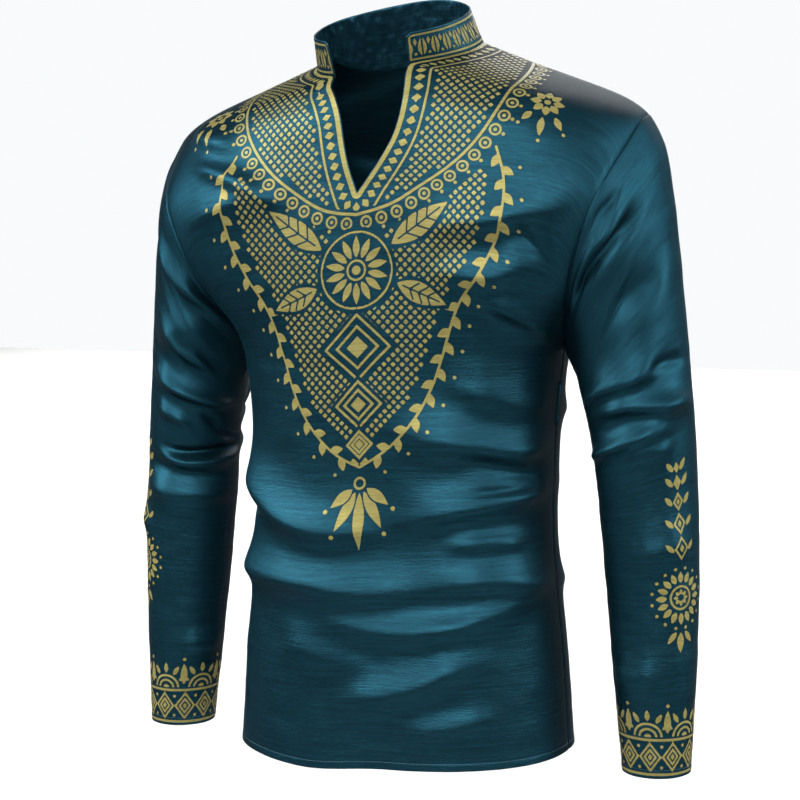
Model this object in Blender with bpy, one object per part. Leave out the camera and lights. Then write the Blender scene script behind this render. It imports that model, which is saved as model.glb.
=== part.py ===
"""Long-sleeved pullover shirt with a stand collar and an open V neck, in its worn, hollow shape.

Table lengths are millimetres. The front faces -Y, the wearer's left is +X and +Z is up.
The origin lies midway between the two points where the shoulder seams meet the collar.
Every cut piece is one wall of cloth: front, back, two sleeves and the collar band.
"""
from collections import namedtuple

import bpy
import numpy as np

MM = 0.001
CLOTH_WALL = 1.4
COLLAR_WALL = 1.8
SEAM_GAP = 0.3
SLEEVE_START = 0.45

# Heights in the row tables run from 0 at the hem to 1 at the shoulder seam.
UNDERARM = 0.56
V_TIP = 0.77
COLLAR_END = 0.92

ROWS_BELOW_UNDERARM = 22
FRONT_ROWS_ABOVE = (5, 5, 6)
BACK_ROWS_ABOVE = 10
COLUMNS_TO_SIDE = 12
COLUMNS_AT_BACK_NECK = 5
SLEEVE_ROWS = 26
COLLAR_ROWS = 3

# The neck opening seen from above: two half ellipses about one centre.
NECK_HALF_WIDTH = 86.0
NECK_CENTRE_Y = -13.0
NECK_FRONT_DEPTH = 91.0
NECK_BACK_DEPTH = 75.0

# The collar's top edge leans in and forward, and is lower in front than behind.
COLLAR_TOP_WIDTH = 78.0
COLLAR_FRONT_FAN = 16.0
COLLAR_TOP_CENTRE_Y = -35.0
COLLAR_TOP_FRONT_DEPTH = 80.0
COLLAR_TOP_BACK_DEPTH = 76.0
COLLAR_TOP_FRONT_Y = -106.0
COLLAR_TOP_SLOPE = 0.33
COLLAR_LOW_SIDE_SHARE = 0.5
COLLAR_GAP = 0.35

# The wearer's right shoulder hangs a little lower than the left, and so does the hem there.
LOW_SHOULDER_DROP = 13.0
LOW_SHOULDER_STARTS_X = 30.0
LOW_SHOULDER_SPREAD = 100.0
DROP_STARTS_Z = -340.0
DROP_SPREAD_Z = 220.0
HEM_DROP_SHARE = 0.7
HEM_DROP_STARTS_Z = -600.0
HEM_DROP_SPREAD_Z = 130.0

VENT_HEIGHT = 42.0
VENT_SPREAD = 2.5
SHOULDER_ROUNDING = 0.1
SHOULDER_ROUNDING_POWER = 16
BACK_NECK_LOWEST = 0.8

Row = namedtuple(
    "Row", "name height middle_y middle_z side_x side_y side_z squareness sweep droop"
)
FRONT_ROWS = (
    Row("hem", 0.00, -128, -730, 181, 0, -726, 2.25, 90, 1.7),
    Row("hip", 0.14, -127, -630, 174, 0, -630, 2.25, 90, 1.7),
    Row("waist", 0.30, -124, -508, 162.5, 0, -508, 2.25, 90, 1.7),
    Row("ribs", 0.42, -126, -418, 163, 0, -418, 2.25, 90, 1.7),
    Row("underarm", 0.56, -131, -310, 172, 0, -310, 2.30, 88, 1.7),
    Row("low armhole", 0.66, -133, -240, 200, -78, -246, 2.30, 75, 1.7),
    Row("mid armhole", 0.75, -132, -168, 221, -98, -184, 2.30, 70, 1.7),
    Row("high armhole", 0.83, -125, -103, 237, -85, -142, 2.30, 70, 1.6),
    Row("sleeve head", 0.90, -112, -48, 248, -45, -106, 2.20, 70, 1.4),
    Row("collar", 0.95, -84, -10, 253, -20, -86, 2.10, 60, 1.05),
    Row("shoulder", 1.00, -5, 44, 256, 8, -76, 2.00, 50, 0.8),
)
BACK_ROWS = (
    Row("hem", 0.00, 120, -730, 181, 0, -726, 2.25, 90, 1.7),
    Row("hip", 0.14, 114, -630, 174, 0, -630, 2.25, 90, 1.7),
    Row("waist", 0.30, 104, -508, 162.5, 0, -508, 2.25, 90, 1.7),
    Row("ribs", 0.42, 108, -418, 163, 0, -418, 2.25, 90, 1.7),
    Row("underarm", 0.56, 117, -310, 172, 0, -310, 2.30, 88, 1.7),
    Row("low armhole", 0.66, 118, -243, 196, 62, -250, 2.30, 75, 1.7),
    Row("mid armhole", 0.75, 114, -173, 218, 84, -190, 2.30, 70, 1.7),
    Row("high armhole", 0.83, 104, -108, 236, 74, -140, 2.30, 70, 1.6),
    Row("sleeve head", 0.90, 86, -48, 248, 45, -102, 2.20, 70, 1.4),
    Row("collar", 0.95, 62, -8, 253, 26, -84, 2.10, 60, 1.05),
    Row("shoulder", 1.00, -5, 44, 256, 8, -76, 2.00, 50, 0.8),
)

# Sideways place of the two open edges of the V, from its tip up to the collar.
Edge = namedtuple("Edge", "height left_x right_x")
V_EDGES = (
    Edge(0.770, 0.0, 0.0),
    Edge(0.800, 19.0, 9.0),
    Edge(0.831, 33.0, 16.0),
    Edge(0.880, 42.0, 25.0),
    Edge(0.920, 40.0, 40.0),
)

Section = namedtuple(
    "Section", "name run outer_x outer_z inner_x inner_z middle_y half_depth right_inset"
)
SLEEVE_SECTIONS = (
    Section("armhole", 0.00, 256, -76, 172, -310, -3, 90, 0),
    Section("head", 0.08, 273, -108, 177, -321, -3, 84, 1),
    Section("upper", 0.18, 284, -168, 187, -342, -2, 72, 3),
    Section("biceps", 0.30, 294, -258, 197, -372, 0, 64, 6),
    Section("lower", 0.44, 303, -348, 205, -413, 3, 58, 6),
    Section("elbow", 0.60, 310, -468, 212, -488, 9, 52, 2),
    Section("forearm", 0.74, 312, -558, 219, -563, 9, 47, 0),
    Section("wrist", 0.86, 311, -640, 227, -640, 7, 43, 0),
    Section("cuff", 1.00, 307, -738, 238, -738, 4, 36, 0),
)
SLEEVE_BLEND = 0.30
SLEEVE_LENGTH = 660.0
SLEEVE_GIRTH = 300.0
SLEEVE_FOLDS_START = 0.08

# A torso fold's path is given by distance round the cloth from the middle, plus to the wearer's
# left, and by height. Rise is outward, so a trough's is negative.
Fold = namedtuple("Fold", "name path width rise")
FRONT_FOLDS = (
    Fold("right chest ridge", ((-215, -166), (-139, -164), (-70, -175)), 17, 4),
    Fold("right collarbone ridge", ((-224, -112), (-173, -105), (-125, -97)), 15, 3),
    Fold("left chest swell", ((80, -150), (145, -129), (197, -113), (245, -86)), 22, 4),
    Fold("left drag trough", ((118, -196), (158, -187), (182, -202), (200, -230)), 15, -5),
    Fold("left rib ridge", ((128, -250), (164, -257), (206, -268)), 13, 4),
    Fold("left rib trough", ((128, -264), (158, -286), (195, -306)), 14, -4),
    Fold("waist ridge", ((95, -377), (155, -382), (225, -384), (275, -388)), 14, 5),
    Fold("waist trough", ((78, -390), (136, -412), (195, -440), (245, -452)), 15, -6),
    Fold("low waist trough", ((50, -488), (123, -466), (190, -459), (260, -456)), 14, -4),
    Fold("right waist ridge", ((-250, -440), (-146, -448), (-95, -468), (-25, -481)), 14, 5),
    Fold("right waist trough", ((-240, -462), (-146, -472), (-90, -493), (-20, -503)), 15, -5),
    Fold(
        "belly ridge",
        ((-260, -505), (-147, -523), (-35, -541), (30, -543), (110, -536), (180, -540), (270, -550)),
        15,
        6,
    ),
    Fold("belly trough", ((-240, -535), (-128, -552), (0, -565), (97, -561), (200, -566)), 15, -5),
    Fold("lap ridge", ((-70, -568), (0, -582), (65, -586), (130, -575), (200, -550)), 15, 5),
    Fold("lap trough", ((-85, -596), (0, -610), (75, -610), (160, -588)), 17, -5),
    Fold("hem ridge", ((-30, -672), (30, -652), (85, -626), (150, -602)), 16, 5),
    Fold("hem trough", ((0, -682), (69, -656), (130, -634), (195, -616)), 16, -4),
)
BACK_FOLDS = (
    Fold("shoulder hollow", ((-130, -105), (0, -120), (130, -105)), 24, -3),
    Fold("right blade ridge", ((-205, -150), (-145, -190), (-95, -255)), 18, 4),
    Fold("left blade ridge", ((210, -160), (155, -208), (100, -268)), 18, 4),
    Fold("waist ridge", ((-165, -396), (-60, -418), (35, -421), (150, -395)), 15, 5),
    Fold("waist trough", ((-150, -422), (-40, -444), (60, -443), (165, -418)), 15, -5),
    Fold("seat ridge", ((-205, -466), (-90, -490), (20, -498), (120, -481), (215, -458)), 15, 5),
    Fold("seat trough", ((-190, -494), (-70, -517), (45, -521), (160, -499)), 16, -5),
    Fold("low ridge", ((-170, -556), (-50, -578), (75, -571), (180, -543)), 17, 5),
    Fold("hem ridge", ((-135, -668), (-30, -644), (75, -612)), 18, 4),
)

# A sleeve fold's path is given by degrees round the sleeve (0 outside, 90 in front, 180 toward
# the body, 270 behind) and distance down it.
LEFT_SLEEVE_FOLDS = (
    Fold("upper trough", ((60, 92), (95, 73), (128, 52)), 15, -4),
    Fold("lower upper trough", ((105, 148), (80, 143), (42, 166), (12, 190)), 14, -4),
    Fold("elbow ridge", ((155, 190), (130, 204), (95, 219), (58, 235)), 13, 5),
    Fold("elbow hollow", ((135, 216), (87, 242), (25, 285), (0, 300)), 12, -5),
    Fold("elbow bright ridge", ((118, 250), (68, 276), (20, 300), (-20, 315)), 12, 6),
    Fold("forearm ridge", ((155, 306), (94, 301), (55, 305), (20, 322)), 14, 5),
    Fold("forearm trough", ((150, 322), (90, 330), (45, 345)), 14, -4),
    Fold("rear elbow ridge", ((195, 236), (250, 216), (310, 226)), 15, 5),
    Fold("rear elbow trough", ((200, 268), (255, 250), (315, 262)), 14, -5),
    Fold("rear forearm ridge", ((185, 304), (240, 290), (300, 300)), 15, 4),
)
RIGHT_SLEEVE_FOLDS = (
    Fold("upper trough", ((70, 105), (95, 75), (130, 45)), 15, -4),
    Fold("upper ridge", ((155, 60), (119, 130), (72, 205)), 15, 5),
    Fold("upper arm trough", ((160, 100), (125, 165), (85, 228)), 15, -4),
    Fold("elbow ridge", ((35, 294), (70, 285), (126, 240), (175, 190)), 14, 5),
    Fold("elbow trough", ((45, 310), (90, 296), (150, 248)), 13, -5),
    Fold("sharp ridge", ((50, 342), (109, 338), (150, 335), (205, 306)), 12, 6),
    Fold("sharp trough", ((55, 360), (110, 358), (155, 353), (205, 330)), 13, -5),
    Fold("forearm ridge", ((45, 392), (90, 397), (135, 395), (180, 388)), 14, 4),
    Fold("rear elbow ridge", ((210, 250), (265, 234), (325, 250)), 15, 5),
    Fold("rear elbow trough", ((205, 284), (262, 270), (322, 286)), 14, -5),
    Fold("rear forearm ridge", ((200, 326), (250, 316), (305, 330)), 15, 4),
)
FOLD_END = 0.3
FOLD_FADE_NEAR_SEAM = 60.0
FOLD_FADE_TOP = 0.93
FOLDS_PASS_SIDE_BELOW = -330.0

SATIN_ROUGHNESS = 0.35
TEAL = (0.012, 0.093, 0.15, 1.0)
DARK_TEAL = (0.01, 0.08, 0.13, 1.0)

# How the faces are worked out: steps along a row, halvings, and when seams share a normal.
ARC_STEPS = 24
BISECTIONS = 40
SMALL = 1e-6
AGREE_FROM = -0.2
AGREE_SPREAD = 0.7
UPWARD_SHARE = 40.0
EDGE_ANGLE = 50.0


def smooth(value):
    """Ease from 0 to 1 as the value goes from 0 to 1."""
    t = np.clip(value, 0.0, 1.0)
    return t * t * (3.0 - 2.0 * t)


def spline(at, knots, values):
    """Smooth curve through the values at unevenly spaced knots."""
    knots = np.asarray(knots, float)
    values = np.asarray(values, float)
    step = np.diff(knots)
    rise = np.diff(values) / step
    slope = np.empty_like(values)
    slope[1:-1] = (rise[:-1] * step[1:] + rise[1:] * step[:-1]) / (step[:-1] + step[1:])
    slope[0] = 1.5 * rise[0] - 0.5 * slope[1]
    slope[-1] = 1.5 * rise[-1] - 0.5 * slope[-2]
    i = np.clip(np.searchsorted(knots, at, side="right") - 1, 0, len(knots) - 2)
    t = (at - knots[i]) / step[i]
    return (
        (1 + 2 * t) * (1 - t) ** 2 * values[i]
        + t * (1 - t) ** 2 * step[i] * slope[i]
        + t * t * (3 - 2 * t) * values[i + 1]
        + t * t * (t - 1) * step[i] * slope[i + 1]
    )


def read(table, at, knot, names):
    """Spline the named columns of a table at the given places."""
    knots = [getattr(row, knot) for row in table]
    return [spline(at, knots, [getattr(row, name) for row in table]) for name in names]


def read_side(table, height, names):
    """Columns of a piece's side line, which has a corner at the underarm."""
    low = [row for row in table if row.height <= UNDERARM]
    high = [row for row in table if row.height >= UNDERARM]
    below = read(low, np.minimum(height, UNDERARM), "height", names)
    above = read(high, np.maximum(height, UNDERARM), "height", names)
    return [np.where(height <= UNDERARM, a, b) for a, b in zip(below, above)]


def low_side_drop(x):
    """How far the wearer's right shoulder hangs below the left, by sideways place."""
    return LOW_SHOULDER_DROP * smooth((LOW_SHOULDER_STARTS_X - x) / LOW_SHOULDER_SPREAD)


def body_points(rows, height, across, side):
    """Smooth torso form: across runs from 0 at the middle to 1 at the side or armhole.

    Each row is part of a superellipse from its middle point to its side point, and droops
    toward the side.
    """
    names = ("middle_y", "middle_z", "squareness", "sweep", "droop")
    mid_y, mid_z, square, sweep, droop = read(rows, height, "height", names)
    side_x, side_y, side_z = read_side(rows, height, ("side_x", "side_y", "side_z"))
    sweep = np.radians(sweep)
    angle = across * sweep
    out = (np.sin(angle) / np.sin(sweep)) ** (2.0 / square)
    end = np.abs(np.cos(sweep)) ** (2.0 / square)
    back = (1.0 - np.abs(np.cos(angle)) ** (2.0 / square)) / (1.0 - end)
    fall = (1.0 - SHOULDER_ROUNDING) * out**droop + SHOULDER_ROUNDING * out**SHOULDER_ROUNDING_POWER
    x = side * side_x * out
    z = mid_z + (side_z - mid_z) * fall
    shoulder_share = smooth((z - DROP_STARTS_Z) / DROP_SPREAD_Z)
    hem_share = HEM_DROP_SHARE * smooth((HEM_DROP_STARTS_Z - z) / HEM_DROP_SPREAD_Z)
    z = z - low_side_drop(x) * (shoulder_share + hem_share)
    return np.stack([x, mid_y + (side_y - mid_y) * back, z], -1)


def across_at(rows, height, x):
    """The across value of a place on a row, from its distance x off the middle."""
    square, sweep = read(rows, height, "height", ("squareness", "sweep"))
    (side_x,) = read_side(rows, height, ("side_x",))
    sweep = np.radians(sweep)
    return np.arcsin((x / side_x) ** (square / 2.0) * np.sin(sweep)) / sweep


def outside_neck(points):
    """Positive outside the neck opening as seen from above."""
    y = points[..., 1] - NECK_CENTRE_Y
    depth = np.where(y < 0, NECK_FRONT_DEPTH, NECK_BACK_DEPTH)
    return (points[..., 0] / NECK_HALF_WIDTH) ** 2 + (y / depth) ** 2 - 1.0


def bisect(low, high, is_high):
    """Halve the span between low and high until it closes on the change of is_high."""
    for _ in range(BISECTIONS):
        middle = 0.5 * (low + high)
        up = is_high(middle)
        high = np.where(up, middle, high)
        low = np.where(up, low, middle)
    return 0.5 * (low + high)


def front_inner_across(height, side):
    """Where a front row starts: at the middle, at the V's edge or at the neck opening."""
    edge = "left_x" if side > 0 else "right_x"
    inner_x = read(V_EDGES, np.clip(height, V_TIP, COLLAR_END), "height", (edge,))[0]
    inner = across_at(FRONT_ROWS, height, np.maximum(inner_x, 0.0))
    crossing = bisect(
        np.zeros_like(height),
        np.ones_like(height),
        lambda w: outside_neck(body_points(FRONT_ROWS, height, w, side)) > 0,
    )
    return np.where(height <= V_TIP, 0.0, np.where(height > COLLAR_END, crossing, inner))


def back_top_height(across, side):
    """Where a back column ends: at the shoulder seam or at the neck opening."""
    return bisect(
        np.full_like(across, BACK_NECK_LOWEST),
        np.ones_like(across),
        lambda v: outside_neck(body_points(BACK_ROWS, v, across, side)) < 0,
    )


def steps(stops, counts):
    """Even steps between each pair of stops."""
    parts = [np.linspace(a, b, n + 1)[:-1] for a, b, n in zip(stops, stops[1:], counts)]
    return np.concatenate(parts + [[stops[-1]]])


def front_grid(side):
    """Height and across values of a front half, with the rows starting at the inner edge."""
    stops = (0.0, UNDERARM, V_TIP, COLLAR_END, 1.0)
    height = steps(stops, (ROWS_BELOW_UNDERARM,) + FRONT_ROWS_ABOVE)[:, None]
    inner = front_inner_across(height, side)
    share = np.linspace(0, 1, COLUMNS_TO_SIDE + 1)[None, :]
    across = inner + (1.0 - inner) * share
    return np.broadcast_to(height, across.shape), across


def back_grid(side):
    """Height and across values of a back half, with the columns ending at the top edge."""
    neck = front_inner_across(np.ones((1, 1)), side)[0, 0]
    across = steps((0.0, neck, 1.0), (COLUMNS_AT_BACK_NECK, COLUMNS_TO_SIDE))[None, :]
    top = np.where(across < neck - SMALL, back_top_height(across, side), 1.0)
    stops = (0.0, UNDERARM, 1.0)
    height = steps(stops, (ROWS_BELOW_UNDERARM, BACK_ROWS_ABOVE))[:, None]
    above = np.clip((height - UNDERARM) / (1.0 - UNDERARM), 0.0, 1.0)
    height = np.where(height <= UNDERARM, height, UNDERARM + (top - UNDERARM) * above)
    return height, np.broadcast_to(across, height.shape)


def arc(rows, height, across):
    """Distance along a row from the middle to each place."""
    total = np.zeros_like(across)
    last = body_points(rows, height, 0.0 * across, 1)
    for i in range(1, ARC_STEPS + 1):
        here = body_points(rows, height, across * i / ARC_STEPS, 1)
        total += np.linalg.norm(here - last, axis=-1)
        last = here
    return total


def fold_rise(fold, along, height):
    """Height of one fold over flat places: a soft ridge or trough along its path."""
    path = np.asarray(fold.path, float)
    legs = np.linalg.norm(np.diff(path, axis=0), axis=1)
    starts = np.concatenate([[0.0], np.cumsum(legs)])
    nearest = np.full(along.shape, np.inf)
    travelled = np.zeros(along.shape)
    for i, leg in enumerate(legs):
        run = (path[i + 1] - path[i]) / leg
        t = np.clip((along - path[i, 0]) * run[0] + (height - path[i, 1]) * run[1], 0.0, leg)
        off = np.hypot(along - path[i, 0] - run[0] * t, height - path[i, 1] - run[1] * t)
        travelled = np.where(off < nearest, starts[i] + t, travelled)
        nearest = np.minimum(nearest, off)
    share = travelled / starts[-1]
    ends = smooth(share / FOLD_END) * smooth((1.0 - share) / FOLD_END)
    return fold.rise * ends * np.exp(-((nearest / fold.width) ** 2))


def grid_normals(points, outward, wrap=False):
    """Unit normals of a grid of points, turned to the outward side."""
    down = np.gradient(points, axis=0)
    if wrap:
        along = np.roll(points, -1, axis=1) - np.roll(points, 1, axis=1)
    else:
        along = np.gradient(points, axis=1)
    normal = np.cross(down, along)
    normal /= np.linalg.norm(normal, axis=-1, keepdims=True)
    facing = np.sum(normal * outward, axis=-1, keepdims=True)
    return normal * np.where(facing.mean() < 0, -1.0, 1.0)


def blend_normals(first, second):
    """Shared normals on a seam, unless the two cloths turn back on each other there."""
    agree = smooth((np.sum(first * second, axis=-1, keepdims=True) - AGREE_FROM) / AGREE_SPREAD)
    one = first + second * agree
    two = second + first * agree
    one /= np.linalg.norm(one, axis=-1, keepdims=True)
    two /= np.linalg.norm(two, axis=-1, keepdims=True)
    return one, two


def outward_from_axis(points):
    """Direction away from the torso's upright axis, for choosing a normal's side."""
    return points * np.array([1.0, 1.0, 0.0]) + np.array([0.0, 0.0, UPWARD_SHARE])


def folded_half(rows, folds_own, folds_other, grid, side):
    """Points of a torso half with its own folds and those that pass the side seam."""
    height, across = grid
    other_rows = BACK_ROWS if rows is FRONT_ROWS else FRONT_ROWS
    points = body_points(rows, height, across, side)
    normals = grid_normals(points, outward_from_axis(points))
    level = points[..., 2]
    own = side * arc(rows, height, across)
    width = arc(rows, height, np.ones_like(across))
    round_side = side * (width + arc(other_rows, height, np.ones_like(across)) - np.abs(own))
    passes = smooth((FOLDS_PASS_SIDE_BELOW - level) / FOLD_FADE_NEAR_SEAM)
    near = smooth((np.abs(own) - width + FOLD_FADE_NEAR_SEAM) / FOLD_FADE_NEAR_SEAM)
    top = 1.0 - smooth((height - FOLD_FADE_TOP) / (1.0 - FOLD_FADE_TOP))
    rise = np.zeros_like(level)
    for fold in folds_own:
        rise += fold_rise(fold, own, level) * (1.0 - (1.0 - passes) * near) * top
    for fold in folds_other:
        rise += fold_rise(fold, round_side, level) * passes
    return points, normals, rise


def torso():
    """Grids of points for the four halves of the torso, keyed by piece and side."""
    halves = {}
    for side in (1, -1):
        front = folded_half(FRONT_ROWS, FRONT_FOLDS, BACK_FOLDS, front_grid(side), side)
        back = folded_half(BACK_ROWS, BACK_FOLDS, FRONT_FOLDS, back_grid(side), side)
        share_normals(front[1], back[1])
        for name, (points, normals, rise) in (("front", front), ("back", back)):
            points = points + normals * rise[..., None]
            halves[name, side] = points
    return halves


def share_normals(front, back):
    """Give the side seam and the shoulder seam one normal each."""
    low = slice(0, ROWS_BELOW_UNDERARM + 1)
    neck = COLUMNS_AT_BACK_NECK
    front[low, -1], back[low, -1] = blend_normals(front[low, -1], back[low, -1])
    front[-1], back[-1, neck:] = blend_normals(front[-1], back[-1, neck:])


def share_armhole(normals, sleeve_normals, side):
    """Blend the normals of the sleeve's first ring with those of the armhole."""
    front = normals["front", side][ROWS_BELOW_UNDERARM:, -1]
    back = normals["back", side][ROWS_BELOW_UNDERARM:, -1]
    count = len(front)
    ring = sleeve_normals[0]
    front[:], turned = blend_normals(front, ring[:count][::-1])
    ring[:count] = turned[::-1]
    back[1:-1], ring[count:] = blend_normals(back[1:-1], ring[count:])
    back[0] = front[0]
    back[-1] = front[-1]


def sleeve_ring(run, angle, side):
    """Plain sleeve tube: ellipses between the sleeve's outer and inner lines."""
    names = ("outer_x", "outer_z", "inner_x", "inner_z", "middle_y", "half_depth", "right_inset")
    outer_x, outer_z, inner_x, inner_z, mid_y, depth, inset = read(
        SLEEVE_SECTIONS, run, "run", names
    )
    outer_x = outer_x - inset * (side < 0)
    turn = np.cos(np.radians(angle))
    x = 0.5 * (outer_x + inner_x) + 0.5 * (outer_x - inner_x) * turn
    z = 0.5 * (outer_z + inner_z) + 0.5 * (outer_z - inner_z) * turn
    y = mid_y - depth * np.sin(np.radians(angle))
    return np.stack([side * x, y, z], -1)


def sleeve_grid(halves, side, folds):
    """Sleeve points: the armhole's own curve easing into the plain tube, with folds."""
    front = halves["front", side][ROWS_BELOW_UNDERARM:, -1]
    back = halves["back", side][ROWS_BELOW_UNDERARM:, -1]
    armhole = np.concatenate([front[::-1], back[1:-1]])
    front_heights = steps((UNDERARM, V_TIP, COLLAR_END, 1.0), FRONT_ROWS_ABOVE)[::-1]
    back_heights = np.linspace(UNDERARM, 1.0, len(back))[1:-1]
    half_turn = 180.0 / (1.0 - UNDERARM)
    front_angle = (1.0 - front_heights) * half_turn
    back_angle = 360.0 - (1.0 - back_heights) * half_turn
    angle = np.concatenate([front_angle, back_angle])[None, :]
    run = np.linspace(0.0, 1.0, SLEEVE_ROWS + 1)[:, None]
    angle, run = np.broadcast_arrays(angle, run)
    start = sleeve_ring(0.0 * run, angle, side)
    ease = 1.0 - smooth(run / SLEEVE_BLEND)
    points = sleeve_ring(run, angle, side) + (armhole[None] - start) * ease[..., None]
    centre = points.mean(axis=1, keepdims=True)
    normals = grid_normals(points, points - centre, wrap=True)
    rise = np.zeros(run.shape)
    for fold in folds:
        first = fold.path[0][0]
        mm_per_degree = SLEEVE_GIRTH / 360.0
        path = [((turn - first) * mm_per_degree, down) for turn, down in fold.path]
        turned = ((angle - first + 180.0) % 360.0 - 180.0) * mm_per_degree
        rise += fold_rise(fold._replace(path=path), turned, run * SLEEVE_LENGTH)
    rise *= smooth(run / SLEEVE_FOLDS_START)
    points = points + normals * rise[..., None]
    points[0] += np.array([side * SLEEVE_START, 0.0, 0.0])
    return points, grid_normals(points, points - centre, wrap=True)


def neckline(halves):
    """Points round the neck opening, from the left front end behind the neck to the right."""
    first = ROWS_BELOW_UNDERARM + FRONT_ROWS_ABOVE[0] + FRONT_ROWS_ABOVE[1]
    neck = COLUMNS_AT_BACK_NECK
    left = halves["front", 1][first:, 0]
    back_left = halves["back", 1][-1, neck - 1::-1]
    back_right = halves["back", -1][-1, 1:neck]
    right = halves["front", -1][first:, 0][::-1]
    return np.concatenate([left, back_left, back_right, right])


def collar_grid(base):
    """Collar band: rises from the neckline to a smaller, forward, tilted top edge."""
    ahead = base[:, 1] < NECK_CENTRE_Y
    base_depth = np.where(ahead, NECK_FRONT_DEPTH, NECK_BACK_DEPTH)
    share_y = (base[:, 1] - NECK_CENTRE_Y) / base_depth
    share_x = base[:, 0] / NECK_HALF_WIDTH
    width = COLLAR_TOP_WIDTH + COLLAR_FRONT_FAN * np.minimum(share_y, 0.0) ** 2
    depth = np.where(ahead, COLLAR_TOP_FRONT_DEPTH, COLLAR_TOP_BACK_DEPTH)
    top = np.stack([share_x * width, COLLAR_TOP_CENTRE_Y + depth * share_y, 0.0 * share_x], -1)
    top[:, 2] = COLLAR_TOP_SLOPE * (top[:, 1] - COLLAR_TOP_FRONT_Y)
    top[:, 2] -= COLLAR_LOW_SIDE_SHARE * low_side_drop(top[:, 0])
    start = base + np.array([0.0, 0.0, COLLAR_GAP])
    share = np.linspace(0, 1, COLLAR_ROWS + 1)[:, None, None]
    return start + (top - start) * share


def grid_faces(shape):
    """Quads of a grid of points, by index."""
    rows, columns = shape
    index = np.arange(rows * columns).reshape(rows, columns)
    return index, np.stack([index[:-1, :-1], index[:-1, 1:], index[1:, 1:], index[1:, :-1]], -1)


def join_halves(left, right, shared_rows):
    """One sheet from two halves that share their middle column up to a given row."""
    index, quads = grid_faces(left[0].shape[:2])
    count = index.size
    mirror = index + count
    mirror[:shared_rows, 0] = index[:shared_rows, 0]
    other = np.stack([mirror[:-1, :-1], mirror[1:, :-1], mirror[1:, 1:], mirror[:-1, 1:]], -1)
    points = np.concatenate([left[0].reshape(-1, 3), right[0].reshape(-1, 3)])
    normals = np.concatenate([left[1].reshape(-1, 3), right[1].reshape(-1, 3)])
    middle = index[:shared_rows, 0]
    normals[middle] += normals[middle + count]
    normals /= np.linalg.norm(normals, axis=-1, keepdims=True)
    return points, normals, np.concatenate([quads.reshape(-1, 4), other.reshape(-1, 4)])


def tube_faces(shape):
    """Quads of a grid whose columns close into a ring."""
    rows, columns = shape
    index = np.arange(rows * columns).reshape(rows, columns)
    turn = np.roll(index, -1, axis=1)
    return np.stack([index[:-1], turn[:-1], turn[1:], index[1:]], -1).reshape(-1, 4)


def wall_mesh(name, points, normals, faces, wall):
    """Closed wall of cloth: the outer face, the inner face and a rim along every open edge."""
    used = np.unique(faces)
    renumber = np.full(len(points), -1)
    renumber[used] = np.arange(len(used))
    outer = points[used]
    inner = outer - normals[used] * wall
    faces = renumber[faces]
    quad = outer[faces]
    turn = np.cross(quad[:, 2] - quad[:, 0], quad[:, 3] - quad[:, 1])
    if np.sum(turn * normals[used][faces[:, 0]]) < 0:
        faces = faces[:, ::-1]
    count = len(used)
    edges = {}
    for face in faces:
        for a, b in zip(face, np.roll(face, -1)):
            edges[int(a), int(b)] = True
    rim = [(b, a, a + count, b + count) for a, b in edges if (b, a) not in edges]
    polygons = [tuple(int(i) for i in f) for f in faces]
    polygons += [tuple(int(i) + count for i in f[::-1]) for f in faces]
    mesh = bpy.data.meshes.new(name)
    mesh.from_pydata((np.concatenate([outer, inner]) * MM).tolist(), [], polygons + rim)
    mesh.validate()
    mesh.update()
    return mesh


def open_seams(halves):
    """Draw the halves back from the side and shoulder seams, and part them at the vents."""
    low = slice(0, ROWS_BELOW_UNDERARM + 1)
    for (piece, side), points in halves.items():
        turn = -1.0 if piece == "front" else 1.0
        edge = points[low, -1]
        open_by = VENT_SPREAD * smooth(1.0 - (edge[:, 2] - edge[0, 2]) / VENT_HEIGHT)
        edge[:, 1] += turn * (0.5 * SEAM_GAP + open_by)
        shoulder = points[-1] if piece == "front" else points[-1, COLUMNS_AT_BACK_NECK:]
        shoulder[:, 1] += turn * 0.5 * SEAM_GAP


def cloth_material(name, colour, roughness):
    """Shiny woven cloth in one colour."""
    material = bpy.data.materials.new(name)
    material.use_nodes = True
    shader = material.node_tree.nodes["Principled BSDF"]
    shader.inputs["Base Color"].default_value = colour
    shader.inputs["Roughness"].default_value = roughness
    shader.inputs["Metallic"].default_value = 0.0
    material.diffuse_color = colour
    return material


def add_piece(name, mesh, material):
    """Put one piece of cloth in the scene."""
    mesh.shade_smooth()
    mesh.set_sharp_from_angle(angle=np.radians(EDGE_ANGLE))
    mesh.materials.append(material)
    piece = bpy.data.objects.new(name, mesh)
    bpy.context.scene.collection.objects.link(piece)
    return piece


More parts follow.
